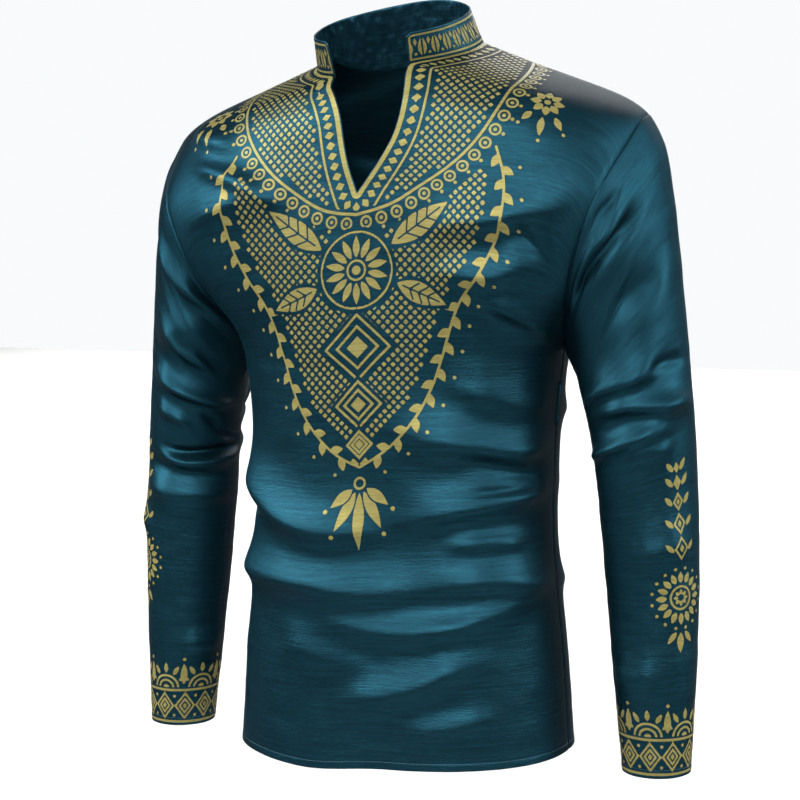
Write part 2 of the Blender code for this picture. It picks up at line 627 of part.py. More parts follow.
def build_shirt():
    """Make the five pieces of the shirt."""
    halves = torso()
    normals = {key: grid_normals(p, outward_from_axis(p)) for key, p in halves.items()}
    base = neckline(halves)
    sleeves = {}
    for side, folds in ((1, LEFT_SLEEVE_FOLDS), (-1, RIGHT_SLEEVE_FOLDS)):
        share_normals(normals["front", side], normals["back", side])
        points, sleeve_normals = sleeve_grid(halves, side, folds)
        share_armhole(normals, sleeve_normals, side)
        sleeves[side] = (points, sleeve_normals)
    open_seams(halves)
    satin = cloth_material("teal_satin", TEAL, SATIN_ROUGHNESS)
    band_satin = cloth_material("teal_collar_satin", DARK_TEAL, SATIN_ROUGHNESS)
    tip_row = ROWS_BELOW_UNDERARM + FRONT_ROWS_ABOVE[0] + 1
    for piece, shared in (("front", tip_row), ("back", None)):
        sheet = join_halves(
            (halves[piece, 1], normals[piece, 1]), (halves[piece, -1], normals[piece, -1]), shared
        )
        add_piece(piece + "_panel", wall_mesh(piece + "_panel", *sheet, CLOTH_WALL), satin)
    for side, name in ((1, "sleeve_left"), (-1, "sleeve_right")):
        points, sleeve_normals = sleeves[side]
        faces = tube_faces(points.shape[:2])
        flat = points.reshape(-1, 3), sleeve_normals.reshape(-1, 3)
        add_piece(name, wall_mesh(name, *flat, faces, CLOTH_WALL), satin)
    collar = collar_grid(base)
    collar_normals = grid_normals(collar, collar - np.array([0.0, NECK_CENTRE_Y, 0.0]))
    faces = grid_faces(collar.shape[:2])[1].reshape(-1, 4)
    flat = collar.reshape(-1, 3), collar_normals.reshape(-1, 3)
    add_piece("collar_band", wall_mesh("collar_band", *flat, faces, COLLAR_WALL), band_satin)


def main():
    """Clear the scene and build the shirt."""
    for old in list(bpy.data.objects):
        bpy.data.objects.remove(old)
    build_shirt()


if __name__ == "__main__":
    main()
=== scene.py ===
"""Looks of the pullover shirt: slub satin in its worn shape, sewn edges and a gold foil ornament.

Table lengths are millimetres. The front faces -Y, the wearer's left is +X and +Z is up.
"""

import logging
from dataclasses import dataclass, field
from enum import Enum
from typing import Callable, NamedTuple, Sequence

import bpy
import numpy as np
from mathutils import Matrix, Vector


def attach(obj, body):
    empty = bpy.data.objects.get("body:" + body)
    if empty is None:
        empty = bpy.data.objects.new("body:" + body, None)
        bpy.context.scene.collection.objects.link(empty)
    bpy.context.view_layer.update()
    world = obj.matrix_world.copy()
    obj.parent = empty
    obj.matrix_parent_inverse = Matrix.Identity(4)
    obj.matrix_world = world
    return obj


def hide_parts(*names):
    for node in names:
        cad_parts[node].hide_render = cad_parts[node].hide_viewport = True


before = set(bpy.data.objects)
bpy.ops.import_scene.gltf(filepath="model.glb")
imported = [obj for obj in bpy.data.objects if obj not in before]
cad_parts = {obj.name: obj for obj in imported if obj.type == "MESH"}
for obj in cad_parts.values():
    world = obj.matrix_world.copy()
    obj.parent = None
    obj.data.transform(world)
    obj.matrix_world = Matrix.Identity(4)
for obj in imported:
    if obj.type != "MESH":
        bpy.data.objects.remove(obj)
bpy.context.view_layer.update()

Array = np.ndarray
Place = tuple[float, float]
Path = Sequence[Place]
MM = 0.001
BODY = "root"
log = logging.getLogger("pullover shirt")


class Side(Enum):
    """The wearer's left, toward +X, and right, toward -X."""

    LEFT = 1
    RIGHT = -1


class Piece(Enum):
    """The cut pieces of the torso."""

    FRONT = "front_panel"
    BACK = "back_panel"


class Row(NamedTuple):
    """One level line of the torso, from its middle point to its side point."""

    height: float
    middle_y: float
    middle_z: float
    side_x: float
    side_y: float
    side_z: float
    squareness: float
    sweep: float
    droop: float


class Edge(NamedTuple):
    """Sideways places of the V's two edges at one height."""

    height: float
    left_x: float
    right_x: float


class Section(NamedTuple):
    """One ring of a sleeve, between its outer and its inner line."""

    run: float
    outer_x: float
    outer_z: float
    inner_x: float
    inner_z: float
    middle_y: float
    half_depth: float
    right_inset: float


class Cut(NamedTuple):
    """A piece laid flat: the width and height of its box, and its own area, in metres."""

    flat: tuple[float, float]
    area: float


class Fold(NamedTuple):
    """A ridge, or a trough where rise is negative, along its crest's path on the flat cloth.

    above and below are how far the cloth slopes away on the upper and on the lower side.
    """

    path: Path
    above: float
    below: float
    rise: float


class Waves(NamedTuple):
    """Fine uneven relief: cells' size in mm, share of the rise and the cell at 0, 0."""

    across: float
    up: float
    share: float
    first: float
    lowest: float


# Heights run from 0 at the hem to 1 at the shoulder seam.
UNDERARM = 0.56
V_TIP = 0.77
COLLAR_END = 0.92
BACK_NECK_LOWEST = 0.8

FRONT_ROWS = (
    Row(0.00, -128, -730, 181, 0, -726, 2.25, 90, 1.7),
    Row(0.14, -127, -630, 174, 0, -630, 2.25, 90, 1.7),
    Row(0.30, -124, -508, 162.5, 0, -508, 2.25, 90, 1.7),
    Row(0.42, -126, -418, 163, 0, -418, 2.25, 90, 1.7),
    Row(0.56, -131, -310, 172, 0, -310, 2.30, 88, 1.7),
    Row(0.66, -133, -240, 200, -78, -246, 2.30, 75, 1.7),
    Row(0.75, -132, -168, 221, -98, -184, 2.30, 70, 1.7),
    Row(0.83, -125, -103, 237, -85, -142, 2.30, 70, 1.6),
    Row(0.90, -112, -48, 248, -45, -106, 2.20, 70, 1.4),
    Row(0.95, -84, -10, 253, -20, -86, 2.10, 60, 1.05),
    Row(1.00, -5, 44, 256, 8, -76, 2.00, 50, 0.8),
)
BACK_ROWS = (
    Row(0.00, 120, -730, 181, 0, -726, 2.25, 90, 1.7),
    Row(0.14, 114, -630, 174, 0, -630, 2.25, 90, 1.7),
    Row(0.30, 104, -508, 162.5, 0, -508, 2.25, 90, 1.7),
    Row(0.42, 108, -418, 163, 0, -418, 2.25, 90, 1.7),
    Row(0.56, 117, -310, 172, 0, -310, 2.30, 88, 1.7),
    Row(0.66, 118, -243, 196, 62, -250, 2.30, 75, 1.7),
    Row(0.75, 114, -173, 218, 84, -190, 2.30, 70, 1.7),
    Row(0.83, 104, -108, 236, 74, -140, 2.30, 70, 1.6),
    Row(0.90, 86, -48, 248, 45, -102, 2.20, 70, 1.4),
    Row(0.95, 62, -8, 253, 26, -84, 2.10, 60, 1.05),
    Row(1.00, -5, 44, 256, 8, -76, 2.00, 50, 0.8),
)
V_EDGES = (
    Edge(0.770, 0.0, 0.0),
    Edge(0.800, 19.0, 9.0),
    Edge(0.831, 33.0, 16.0),
    Edge(0.880, 42.0, 25.0),
    Edge(0.920, 40.0, 40.0),
)
SLEEVE_SECTIONS = (
    Section(0.00, 256, -76, 172, -310, -3, 90, 0),
    Section(0.08, 273, -108, 177, -321, -3, 84, 1),
    Section(0.18, 284, -168, 187, -342, -2, 72, 3),
    Section(0.30, 294, -258, 197, -372, 0, 64, 6),
    Section(0.44, 303, -348, 205, -413, 3, 58, 6),
    Section(0.60, 310, -468, 212, -488, 9, 52, 2),
    Section(0.74, 312, -558, 219, -563, 9, 47, 0),
    Section(0.86, 311, -640, 227, -640, 7, 43, 0),
    Section(1.00, 307, -738, 238, -738, 4, 36, 0),
)

# Torso paths: distance round the cloth from the middle, plus to the wearer's left, and height.
FRONT_FOLDS = (
    Fold(((-226, -192), (-185, -180), (-140, -166), (-98, -161), (-62, -165)), 26, 13, 4.5),
    Fold(((-222, -126), (-170, -134), (-118, -151), (-84, -172)), 11, 8, 3.5),
    Fold(((-238, -92), (-190, -101), (-135, -110)), 20, 9, 4),
    Fold(((60, -192), (100, -187), (148, -181), (200, -169), (240, -146)), 26, 10, 6),
    Fold(((150, -180), (167, -194), (187, -216), (201, -244)), 8, 7, -4.5),
    Fold(((70, -228), (95, -234), (135, -236), (168, -226), (192, -212)), 20, 10, 5),
    Fold(((118, -248), (140, -262), (165, -273), (195, -291), (214, -308)), 16, 8, 5.5),
    Fold(((80, -337), (125, -352), (176, -365), (232, -357)), 30, 14, 4),
    Fold(((15, -388), (60, -395), (104, -401), (146, -409), (190, -408), (238, -398)), 22, 13, 7),
    Fold(((90, -414), (150, -427), (208, -443)), 11, 9, -3.5),
    Fold(
        ((-235, -420), (-180, -440), (-151, -454), (-95, -483), (-53, -493), (0, -490), (50, -478)),
        26,
        13,
        7,
    ),
    Fold(((10, -487), (50, -478), (97, -467), (150, -458), (205, -451), (262, -446)), 24, 11, 6.5),
    Fold(((100, -450), (140, -448), (190, -444)), 3, 3, -1.6),
    Fold(((-232, -452), (-196, -462), (-168, -474), (-140, -484)), 7, 7, -4),
    Fold(((78, -503), (128, -499), (186, -503)), 9, 8, 3),
    Fold(
        ((-262, -512), (-208, -538), (-140, -546), (-69, -549), (6, -552), (72, -544), (110, -539)),
        28,
        12,
        7,
    ),
    Fold(((50, -548), (100, -540), (136, -538), (190, -546), (258, -553)), 26, 11, 6.5),
    Fold(((-70, -569), (-15, -586), (50, -590), (105, -581), (150, -567), (205, -554)), 18, 12, 5.5),
    Fold(((-110, -604), (-50, -620), (20, -625)), 24, 15, 2.5),
    Fold(((-45, -668), (10, -659), (58, -645), (100, -625), (150, -610)), 22, 12, 6),
    Fold(((30, -693), (90, -686), (150, -671)), 15, 9, 2.5),
)
BACK_FOLDS = (
    Fold(((-150, -96), (-60, -118), (0, -122), (60, -117), (150, -95)), 22, 12, 3.5),
    Fold(((-222, -140), (-175, -165), (-130, -205), (-95, -262)), 16, 12, 5),
    Fold(((226, -150), (180, -176), (140, -216), (104, -272)), 16, 12, 5),
    Fold(((-205, -236), (-160, -262), (-118, -312)), 14, 11, 4),
    Fold(((208, -248), (165, -276), (130, -322)), 14, 11, 4),
    Fold(((-178, -380), (-110, -402), (-50, -414), (30, -416), (95, -402)), 24, 12, 6.5),
    Fold(((20, -382), (90, -388), (150, -380), (225, -366)), 22, 12, 5.5),
    Fold(((-225, -436), (-150, -456), (-70, -470), (30, -474), (130, -462), (228, -436)), 26, 12, 7),
    Fold(((-90, -508), (-10, -519), (70, -517), (150, -498)), 20, 12, 5.5),
    Fold(((-215, -522), (-140, -545), (-50, -560), (40, -560)), 26, 13, 6),
    Fold(((30, -585), (90, -578), (160, -560), (225, -536)), 22, 12, 5),
    Fold(((-150, -655), (-70, -646), (20, -627), (90, -600)), 24, 13, 5),
)

# Sleeve paths: degrees round the sleeve (0 outside, 90 in front, 180 toward the body, 270
# behind) and distance down it.
LEFT_SLEEVE_FOLDS = (
    Fold(((45, 102), (65, 87), (91, 77), (120, 57), (142, 36)), 8, 7, -5),
    Fold(((60, 82), (88, 64), (116, 42), (135, 22)), 12, 8, 4),
    Fold(((66, 46), (80, 32), (96, 18)), 7, 6, -2.5),
    Fold(((28, 176), (65, 157), (92, 135)), 16, 9, -3.5),
    Fold(((152, 194), (133, 203), (96, 228), (70, 246), (42, 262)), 17, 7, 5.5),
    Fold(((66, 242), (36, 252), (8, 261)), 6, 5, -2.5),
    Fold(((132, 236), (105, 256), (85, 273), (60, 289), (25, 298), (-12, 308)), 11, 7, 6),
    Fold(((108, 262), (80, 284), (48, 306)), 8, 12, -3),
    Fold(((165, 298), (140, 304), (100, 309), (62, 312), (30, 319)), 13, 7, 5.5),
    Fold(((98, 322), (70, 329), (38, 339)), 9, 7, 3),
    Fold(((20, 420), (60, 432), (110, 430)), 26, 14, 2.5),
    Fold(((60, 560), (110, 566), (150, 562)), 18, 10, 2),
    Fold(((190, 226), (225, 214), (270, 212), (315, 226)), 18, 9, 6),
    Fold(((195, 262), (240, 248), (290, 254), (325, 268)), 14, 8, 5),
    Fold(((180, 300), (225, 288), (275, 290), (320, 304)), 14, 8, 5),
    Fold(((200, 420), (250, 428), (300, 420)), 24, 14, 2.5),
)
RIGHT_SLEEVE_FOLDS = (
    Fold(((62, 98), (79, 86), (108, 74), (143, 34), (158, 10)), 13, 10, 5.5),
    Fold(((150, 70), (119, 130), (97, 170), (76, 207), (56, 228)), 14, 10, 6),
    Fold(((86, 196), (110, 182), (142, 158)), 9, 8, 4),
    Fold(((50, 262), (75, 263), (117, 247), (150, 226), (178, 200)), 16, 8, 6),
    Fold(((128, 260), (142, 276), (160, 291), (205, 301)), 7, 6, -4),
    Fold(((66, 300), (90, 302), (120, 292)), 10, 7, 3),
    Fold(((66, 337), (90, 344), (129, 333), (149, 324), (206, 309)), 5, 3.5, -4),
    Fold(((62, 350), (92, 354), (130, 343), (156, 333), (210, 317)), 4, 11, 4.5),
    Fold(((35, 372), (80, 367), (117, 364), (172, 352)), 9, 11, -3),
    Fold(((36, 391), (80, 395), (112, 392), (150, 386), (190, 376)), 22, 9, 4),
    Fold(((105, 572), (140, 573), (190, 574)), 15, 7, 2.2),
    Fold(((202, 246), (240, 232), (285, 234), (330, 252)), 18, 9, 6),
    Fold(((205, 288), (250, 274), (300, 280), (330, 294)), 14, 8, 5),
    Fold(((206, 336), (250, 322), (290, 324), (325, 338)), 14, 8, 5),
    Fold(((-15, 430), (20, 440), (60, 436)), 24, 14, 2.5),
)

# Flat places of the ornament on one half of the front, from the middle and the shoulder level.
YOKE_EDGE = (
    (146, 140),
    (152, 80),
    (154, 25),
    (148, -30),
    (132, -78),
    (104, -116),
    (70, -144),
    (34, -166),
    (-2, -174),
)
VINE = (
    (140, -104),
    (150, -142),
    (146, -186),
    (128, -226),
    (104, -262),
    (90, -302),
    (76, -344),
    (52, -384),
    (22, -412),
    (0, -424),
)
ROSETTE_HEIGHT = -228.0
BIG_LEAVES = (
    ((37.5, -204), (96, -163), 11.5),
    ((43, -242), (92, -263), 10.5),
)
# Height of its centre, half width and half height of each lozenge of the middle column.
LOZENGES = ((-304, 36, 34), (-361, 26, 25), (-401, 15, 15))
# Degrees from straight down, and length, of the hanging fan's leaves.
FAN_LEAVES = ((0.0, 68.0), (27.0, 52.0), (54.0, 38.0))
SHOULDER_FLOWER = (184, -48)
# Degrees from straight up, and length, of the shoulder flower's leaves.
SPRAY_LEAVES = ((150.0, 36.0), (185.0, 42.0), (220.0, 34.0))
# Half width and half height of the lozenges up the forearm.
FOREARM_LOZENGES = ((9.5, 13.0), (8.0, 11.0), (6.5, 9.0), (5.0, 7.0), (3.6, 5.0))

# Extra steps close to a sewn edge, and close to a hem with its line of stitches.
SEAM_STEPS = (0.0, 0.8, 1.8, 3.2, 5.0)
HEM_STEPS = (0.0, 0.8, 1.8, 3.5, 5.5, 7.0, 7.7, 8.4, 9.1, 10.5, 13.0)
STITCH_HEIGHT = 7.7
STITCH_ROW = HEM_STEPS.index(STITCH_HEIGHT)

# A turned edge is thicker up to its stitches, which lie in a groove.
TURN_THICKNESS = 0.3
TURN_FADE = 2.5
GROOVE_DEPTH = 0.3

# Every fold's crest is rounded, its rise and its lower slope are stressed by a factor, it
# fades over a share of its path at each end, and its path's corners are rounded in steps.
CREST_ROUND = 1.25
FOLD_RELIEF = 2.1
LOWER_SPREAD = 1.15
FOLD_FADE = 0.34
FOLD_STEP = 12.0

TORSO_WAVES = (Waves(46, 21, 1.0, 60, 90), Waves(23, 13, 0.5, 80, 90))

# Cosine of the angle between two cloths at a seam: broken below the first, smooth above the
# second.
SEAM_BREAKS = -0.2
SEAM_BLENDS = 0.5
# A distance from an edge that counts as far away.
FAR = 99.0


def smooth(value: Array) -> Array:
    """Ease from 0 to 1 as the value goes from 0 to 1."""
    t = np.clip(value, 0.0, 1.0)
    return t * t * (3.0 - 2.0 * t)


def bell(value: Array, width: float) -> Array:
    """Soft bump: e to the minus square of value over width."""
    return np.exp(-((value / width) ** 2))


def unit(vectors: Array) -> Array:
    """Vectors scaled to length 1."""
    return vectors / np.linalg.norm(vectors, axis=-1, keepdims=True)


def folded(value: Array, step: float) -> Array:
    """Signed distance from the nearest whole number of steps."""
    return (value + 0.5 * step) % step - 0.5 * step


def run_along(points: Array) -> Array:
    """Distance along a line of points, from the first to each of them."""
    return np.concatenate([[0.0], np.cumsum(np.linalg.norm(np.diff(points, axis=0), axis=1))])


def read_line(at: Array, knots: Array, values: Array) -> Array:
    """Each column of values at the given places, straight between the knots."""
    return np.stack([np.interp(at, knots, column) for column in np.asarray(values).T], -1)


def turned_edge(above: Array) -> Array:
    """Relief of a turned edge, by distance above it: a thicker layer, then a groove."""
    layer = TURN_THICKNESS * (1.0 - smooth((above - STITCH_HEIGHT) / TURN_FADE))
    return layer - GROOVE_DEPTH * bell(above - STITCH_HEIGHT, 1.0)


def spline(at: Array, knots: Sequence[float], values: Sequence[float]) -> Array:
    """Smooth curve through values at unevenly spaced knots, in Hermite cubics.

    Args:
        at: places to read.
        knots: rising places of the values.
        values: the values there.

    Returns:
        The curve at each place.
    """
    knots = np.asarray(knots, float)
    values = np.asarray(values, float)
    step = np.diff(knots)
    rise = np.diff(values) / step
    slope = np.empty_like(values)
    slope[1:-1] = (rise[:-1] * step[1:] + rise[1:] * step[:-1]) / (step[:-1] + step[1:])
    slope[0] = 1.5 * rise[0] - 0.5 * slope[1]
    slope[-1] = 1.5 * rise[-1] - 0.5 * slope[-2]
    i = np.clip(np.searchsorted(knots, at, side="right") - 1, 0, len(knots) - 2)
    t = (at - knots[i]) / step[i]
    return (
        (1 + 2 * t) * (1 - t) ** 2 * values[i]
        + t * (1 - t) ** 2 * step[i] * slope[i]
        + t * t * (3 - 2 * t) * values[i + 1]
        + t * t * (t - 1) * step[i] * slope[i + 1]
    )


def read(table: Sequence[NamedTuple], at: Array, knot: str, names: Sequence[str]) -> list[Array]:
    """Spline the named columns of a table at the given places."""
    knots = [getattr(row, knot) for row in table]
    return [spline(at, knots, [getattr(row, name) for row in table]) for name in names]


def refined(length: float, step: float, start: Sequence[float], end: Sequence[float]) -> Array:
    """Places from 0 to length, even in the middle and closer together at the two ends.

    Args:
        length: the whole distance.
        step: the even step.
        start: distances from the start to use there.
        end: distances from the end to use there.

    Returns:
        Rising places.
    """
    low, high = start[-1], length - end[-1]
    middle = np.linspace(low, high, max(2, round((high - low) / step) + 1))
    return np.concatenate([start[:-1], middle, length - np.asarray(end[:-1])[::-1]])


def path_distance(path: Path, x: Array, y: Array) -> tuple[Array, Array, Array]:
    """Where flat places lie beside a path.

    Args:
        path: its corners.
        x: places across.
        y: places up.

    Returns:
        The distance from the path, how far along the path the nearest point is, and how far
        above that point the place is.
    """
    corners = np.asarray(path, float)
    starts = run_along(corners)
    nearest = np.full(x.shape, np.inf)
    travelled = np.zeros(x.shape)
    over = np.zeros(x.shape)
    for i, leg in enumerate(np.diff(starts)):
        run = (corners[i + 1] - corners[i]) / leg
        t = np.clip((x - corners[i, 0]) * run[0] + (y - corners[i, 1]) * run[1], 0.0, leg)
        away_y = y - corners[i, 1] - run[1] * t
        off = np.hypot(x - corners[i, 0] - run[0] * t, away_y)
        closer = off < nearest
        travelled = np.where(closer, starts[i] + t, travelled)
        over = np.where(closer, away_y, over)
        nearest = np.minimum(nearest, off)
    return nearest, travelled, over


def smooth_path(path: Path, step: float) -> list[tuple[float, float]]:
    """Round a path's corners: a spline through them, read about every step millimetres.

    Args:
        path: the path's corners.
        step: distance between places on the rounded path.

    Returns:
        Corners of the rounded path.
    """
    corners = np.asarray(path, float)
    knots = run_along(corners)
    at = np.linspace(0.0, knots[-1], max(3, round(knots[-1] / step)))
    return list(zip(spline(at, knots, corners[:, 0]), spline(at, knots, corners[:, 1])))


def ripple(x: Array, y: Array, seed: int, wrap: int = 0) -> Array:
    """Smooth uneven relief between about -1 and 1.

    Random values at whole x and y, eased into each other in between.

    Args:
        x: places across, in cells.
        y: places along, in cells.
        seed: picks the random values.
        wrap: cells after which it repeats across, or 0.

    Returns:
        The relief at each place.
    """
    lattice = np.random.default_rng(seed).uniform(-1.0, 1.0, (256, 256))
    i, j = np.floor(x).astype(int), np.floor(y).astype(int)
    u, v = smooth(x - i), smooth(y - j)
    columns = [(i + k) % (wrap or 256) for k in (0, 1)]
    near, far = [
        lattice[column, j % 256] * (1 - v) + lattice[column, (j + 1) % 256] * v
        for column in columns
    ]
    return near * (1 - u) + far * u


def fold_rise(fold: Fold, along: Array, height: Array) -> Array:
    """Height of one fold over flat places.

    The rise is e to the minus (distance over width) to the power 1.5, with a crest rounded over
    CREST_ROUND, and fades to nothing at both ends of the path.

    Args:
        fold: the fold.
        along: places across the cloth.
        height: places up the cloth.

    Returns:
        Millimetres outward.
    """
    path = smooth_path(fold.path, FOLD_STEP) if len(fold.path) > 2 else fold.path
    off, travelled, over = path_distance(path, along, height)
    share = travelled / run_along(path)[-1]
    ends = smooth(share / FOLD_FADE) * smooth((1.0 - share) / FOLD_FADE)
    upper = smooth(0.5 + over / (2.0 * CREST_ROUND))
    below = LOWER_SPREAD * fold.below
    width = below + (fold.above - below) * upper
    run = (np.sqrt(off**2 + CREST_ROUND**2) - CREST_ROUND) / width
    return FOLD_RELIEF * fold.rise * ends * np.exp(-(run**1.5))


def grid_normals(points: Array, outward: Array, wrap: bool = False) -> Array:
    """Unit normals of a grid of points, turned to the outward side.

    Args:
        points: rows by columns by 3.
        outward: rough outward direction at each point.
        wrap: whether the columns close into a ring.

    Returns:
        Normals in the same layout.
    """
    down = np.gradient(points, axis=0)
    if wrap:
        along = np.roll(points, -1, axis=1) - np.roll(points, 1, axis=1)
    else:
        along = np.gradient(points, axis=1)
    normal = unit(np.cross(down, along))
    facing = np.sum(normal * outward, axis=-1)
    return normal * (-1.0 if facing.mean() < 0 else 1.0)


def blend_normals(first: Array, second: Array) -> tuple[Array, Array]:
    """Shared normals on a seam, unless the two cloths turn back on each other there."""
    cosine = np.sum(first * second, axis=-1, keepdims=True)
    agree = smooth((cosine - SEAM_BREAKS) / (SEAM_BLENDS - SEAM_BREAKS))
    return unit(first + second * agree), unit(second + first * agree)


def bilinear(grid: Array, row: Array, column: Array) -> Array:
    """Read a grid at fractional rows and columns.

    Args:
        grid: values by row and column.
        row: rows.
        column: columns.

    Returns:
        The values there.
    """
    i = np.clip(np.floor(row).astype(int), 0, grid.shape[0] - 2)
    j = np.clip(np.floor(column).astype(int), 0, grid.shape[1] - 2)
    u, v = row - i, column - j
    if grid.ndim == 3:
        u, v = u[..., None], v[..., None]
    near = grid[i, j] * (1 - v) + grid[i, j + 1] * v
    far = grid[i + 1, j] * (1 - v) + grid[i + 1, j + 1] * v
    return near * (1 - u) + far * u


@dataclass
class Patch:
    """A grid of places on the outer face of a piece of cloth.

    points and normals are in mm; chart is the flat place of each point, across and up the
    piece; dip is the vector that takes an edge point into its seam.
    """

    points: Array
    normals: Array
    chart: Array
    dip: Array


def torso_outward(points: Array) -> Array:
    """Direction away from the torso's upright axis and a little up."""
    return points * np.array([1.0, 1.0, 0.0]) + np.array([0.0, 0.0, 40.0])


@dataclass
class Torso:
    """Front and back panels: level half ovals, with folds, cut at the V and the neck."""

    step_across: float = 3.7
    step_up: float = 2.9
    neck_half_width: float = 86.0
    neck_centre_y: float = -13.0
    neck_front_depth: float = 91.0
    neck_back_depth: float = 75.0
    back_neck_columns: int = 26
    low_shoulder_drop: float = 13.0
    drop_fades_at: float = -340.0
    drop_fade: float = 220.0
    hem_drop: float = 0.7
    hem_drop_from: float = -600.0
    hem_drop_fade: float = 130.0
    shoulder_rounding: float = 0.1
    vent_height: float = 42.0
    vent_spread: float = 2.5
    seam_depth: float = 0.9
    seam_width: float = 2.2
    ripple_rise: float = 0.5
    ripple_reach: float = 25.0
    side_calm: float = 0.8
    calm_reach: float = 85.0
    calm_seam: float = 30.0
    top_fade: float = 0.07
    passing_below: float = -330.0
    passing_fade: float = 60.0
    ease_passes: int = 150
    ease_height: float = 0.07
    ease_reach: float = 60.0
    typical_width: float = 250.0
    typical_low: float = 420.0
    shares: Array = field(init=False)
    low_heights: Array = field(init=False)

    def __post_init__(self) -> None:
        """Work out the steps across and up that both panels share."""
        width, low = self.typical_width, self.typical_low
        self.shares = refined(width, self.step_across, (0.0, 1.6), SEAM_STEPS) / width
        up = refined(low, self.step_up, HEM_STEPS, (0.0, self.step_up))
        self.low_heights = UNDERARM * up / low

    def low_side_drop(self, x: Array) -> Array:
        """How far the wearer's right shoulder hangs below the left, by sideways place."""
        return self.low_shoulder_drop * smooth((30.0 - x) / 100.0)

    def side_point(self, rows: Sequence[Row], height: Array, names: Sequence[str]) -> list[Array]:
        """Columns of a panel's side line, which has a corner at the underarm.

        Args:
            rows: the panel's table.
            height: 0 at the hem to 1 at the shoulder seam.
            names: names of the columns.

        Returns:
            The columns at each height.
        """
        low = [row for row in rows if row.height <= UNDERARM]
        high = [row for row in rows if row.height >= UNDERARM]
        below = read(low, np.minimum(height, UNDERARM), "height", names)
        above = read(high, np.maximum(height, UNDERARM), "height", names)
        return [np.where(height <= UNDERARM, a, b) for a, b in zip(below, above)]

    def form(self, rows: Sequence[Row], height: Array, across: Array, side: int) -> Array:
        """Smooth torso form without folds.

        Each level line is part of a superellipse from its middle point to its side point, and
        droops toward the side.

        Args:
            rows: the panel's table.
            height: 0 at the hem to 1 at the shoulder seam.
            across: 0 at the middle to 1 at the side or the armhole.
            side: 1 for the wearer's left, -1 for the right.

        Returns:
            Points in mm.
        """
        names = ("middle_y", "middle_z", "squareness", "sweep", "droop")
        mid_y, mid_z, square, sweep, droop = read(rows, height, "height", names)
        side_x, side_y, side_z = self.side_point(rows, height, ("side_x", "side_y", "side_z"))
        sweep = np.radians(sweep)
        angle = across * sweep
        out = (np.sin(angle) / np.sin(sweep)) ** (2.0 / square)
        end = np.abs(np.cos(sweep)) ** (2.0 / square)
        back = (1.0 - np.abs(np.cos(angle)) ** (2.0 / square)) / (1.0 - end)
        fall = (1.0 - self.shoulder_rounding) * out**droop + self.shoulder_rounding * out**16
        x = side * side_x * out
        z = mid_z + (side_z - mid_z) * fall
        high = smooth((z - self.drop_fades_at) / self.drop_fade)
        low = self.hem_drop * smooth((self.hem_drop_from - z) / self.hem_drop_fade)
        z = z - self.low_side_drop(x) * (high + low)
        return np.stack([x, mid_y + (side_y - mid_y) * back, z], -1)

    def outside_neck(self, points: Array) -> Array:
        """Positive outside the neck opening, two half ellipses seen from above.

        Args:
            points: places in mm, rows by columns.

        Returns:
            0 on the opening's edge, and negative inside it.
        """
        y = points[..., 1] - self.neck_centre_y
        depth = np.where(y < 0, self.neck_front_depth, self.neck_back_depth)
        return (points[..., 0] / self.neck_half_width) ** 2 + (y / depth) ** 2 - 1.0

    @staticmethod
    def halve(low: Array, high: Array, is_high: Callable[[Array], Array]) -> Array:
        """Halve the span between low and high until it closes on the change of is_high."""
        for _ in range(40):
            middle = 0.5 * (low + high)
            up = is_high(middle)
            high = np.where(up, middle, high)
            low = np.where(up, low, middle)
        return 0.5 * (low + high)

    def inner_across(self, height: Array, side: int) -> Array:
        """Where a front row starts: at the middle, at the V's edge or at the neck opening.

        Args:
            height: 0 at the hem to 1 at the shoulder seam.
            side: 1 for the wearer's left, -1 for the right.

        Returns:
            The across value of the row's first point.
        """
        name = "left_x" if side > 0 else "right_x"
        edge = read(V_EDGES, np.clip(height, V_TIP, COLLAR_END), "height", (name,))[0]
        square, sweep = read(FRONT_ROWS, height, "height", ("squareness", "sweep"))
        (side_x,) = self.side_point(FRONT_ROWS, height, ("side_x",))
        sweep = np.radians(sweep)
        share = (np.maximum(edge, 0.0) / side_x) ** (square / 2.0)
        inner = np.arcsin(share * np.sin(sweep)) / sweep
        crossing = self.halve(
            np.zeros_like(height),
            np.ones_like(height),
            lambda w: self.outside_neck(self.form(FRONT_ROWS, height, w, side)) > 0,
        )
        above = np.maximum(crossing, inner)
        return np.where(height <= V_TIP, 0.0, np.where(height > COLLAR_END, above, inner))

    def front_grid(self, side: int) -> tuple[Array, Array]:
        """Height and across values of a front half, whose rows start at the inner edge.

        Args:
            side: 1 for the wearer's left, -1 for the right.

        Returns:
            Heights and across values, rows by columns.
        """
        parts = [
            self.low_heights,
            np.linspace(UNDERARM, V_TIP, 54)[1:],
            np.linspace(V_TIP, COLLAR_END, 47)[1:],
            np.linspace(COLLAR_END, 0.99, 28)[1:],
            np.array([0.9935, 0.9965, 0.9985, 1.0]),
        ]
        height = np.concatenate(parts)[:, None]
        inner = self.inner_across(height, side)
        across = inner + (1.0 - inner) * self.shares[None, :]
        return np.broadcast_to(height, across.shape), across

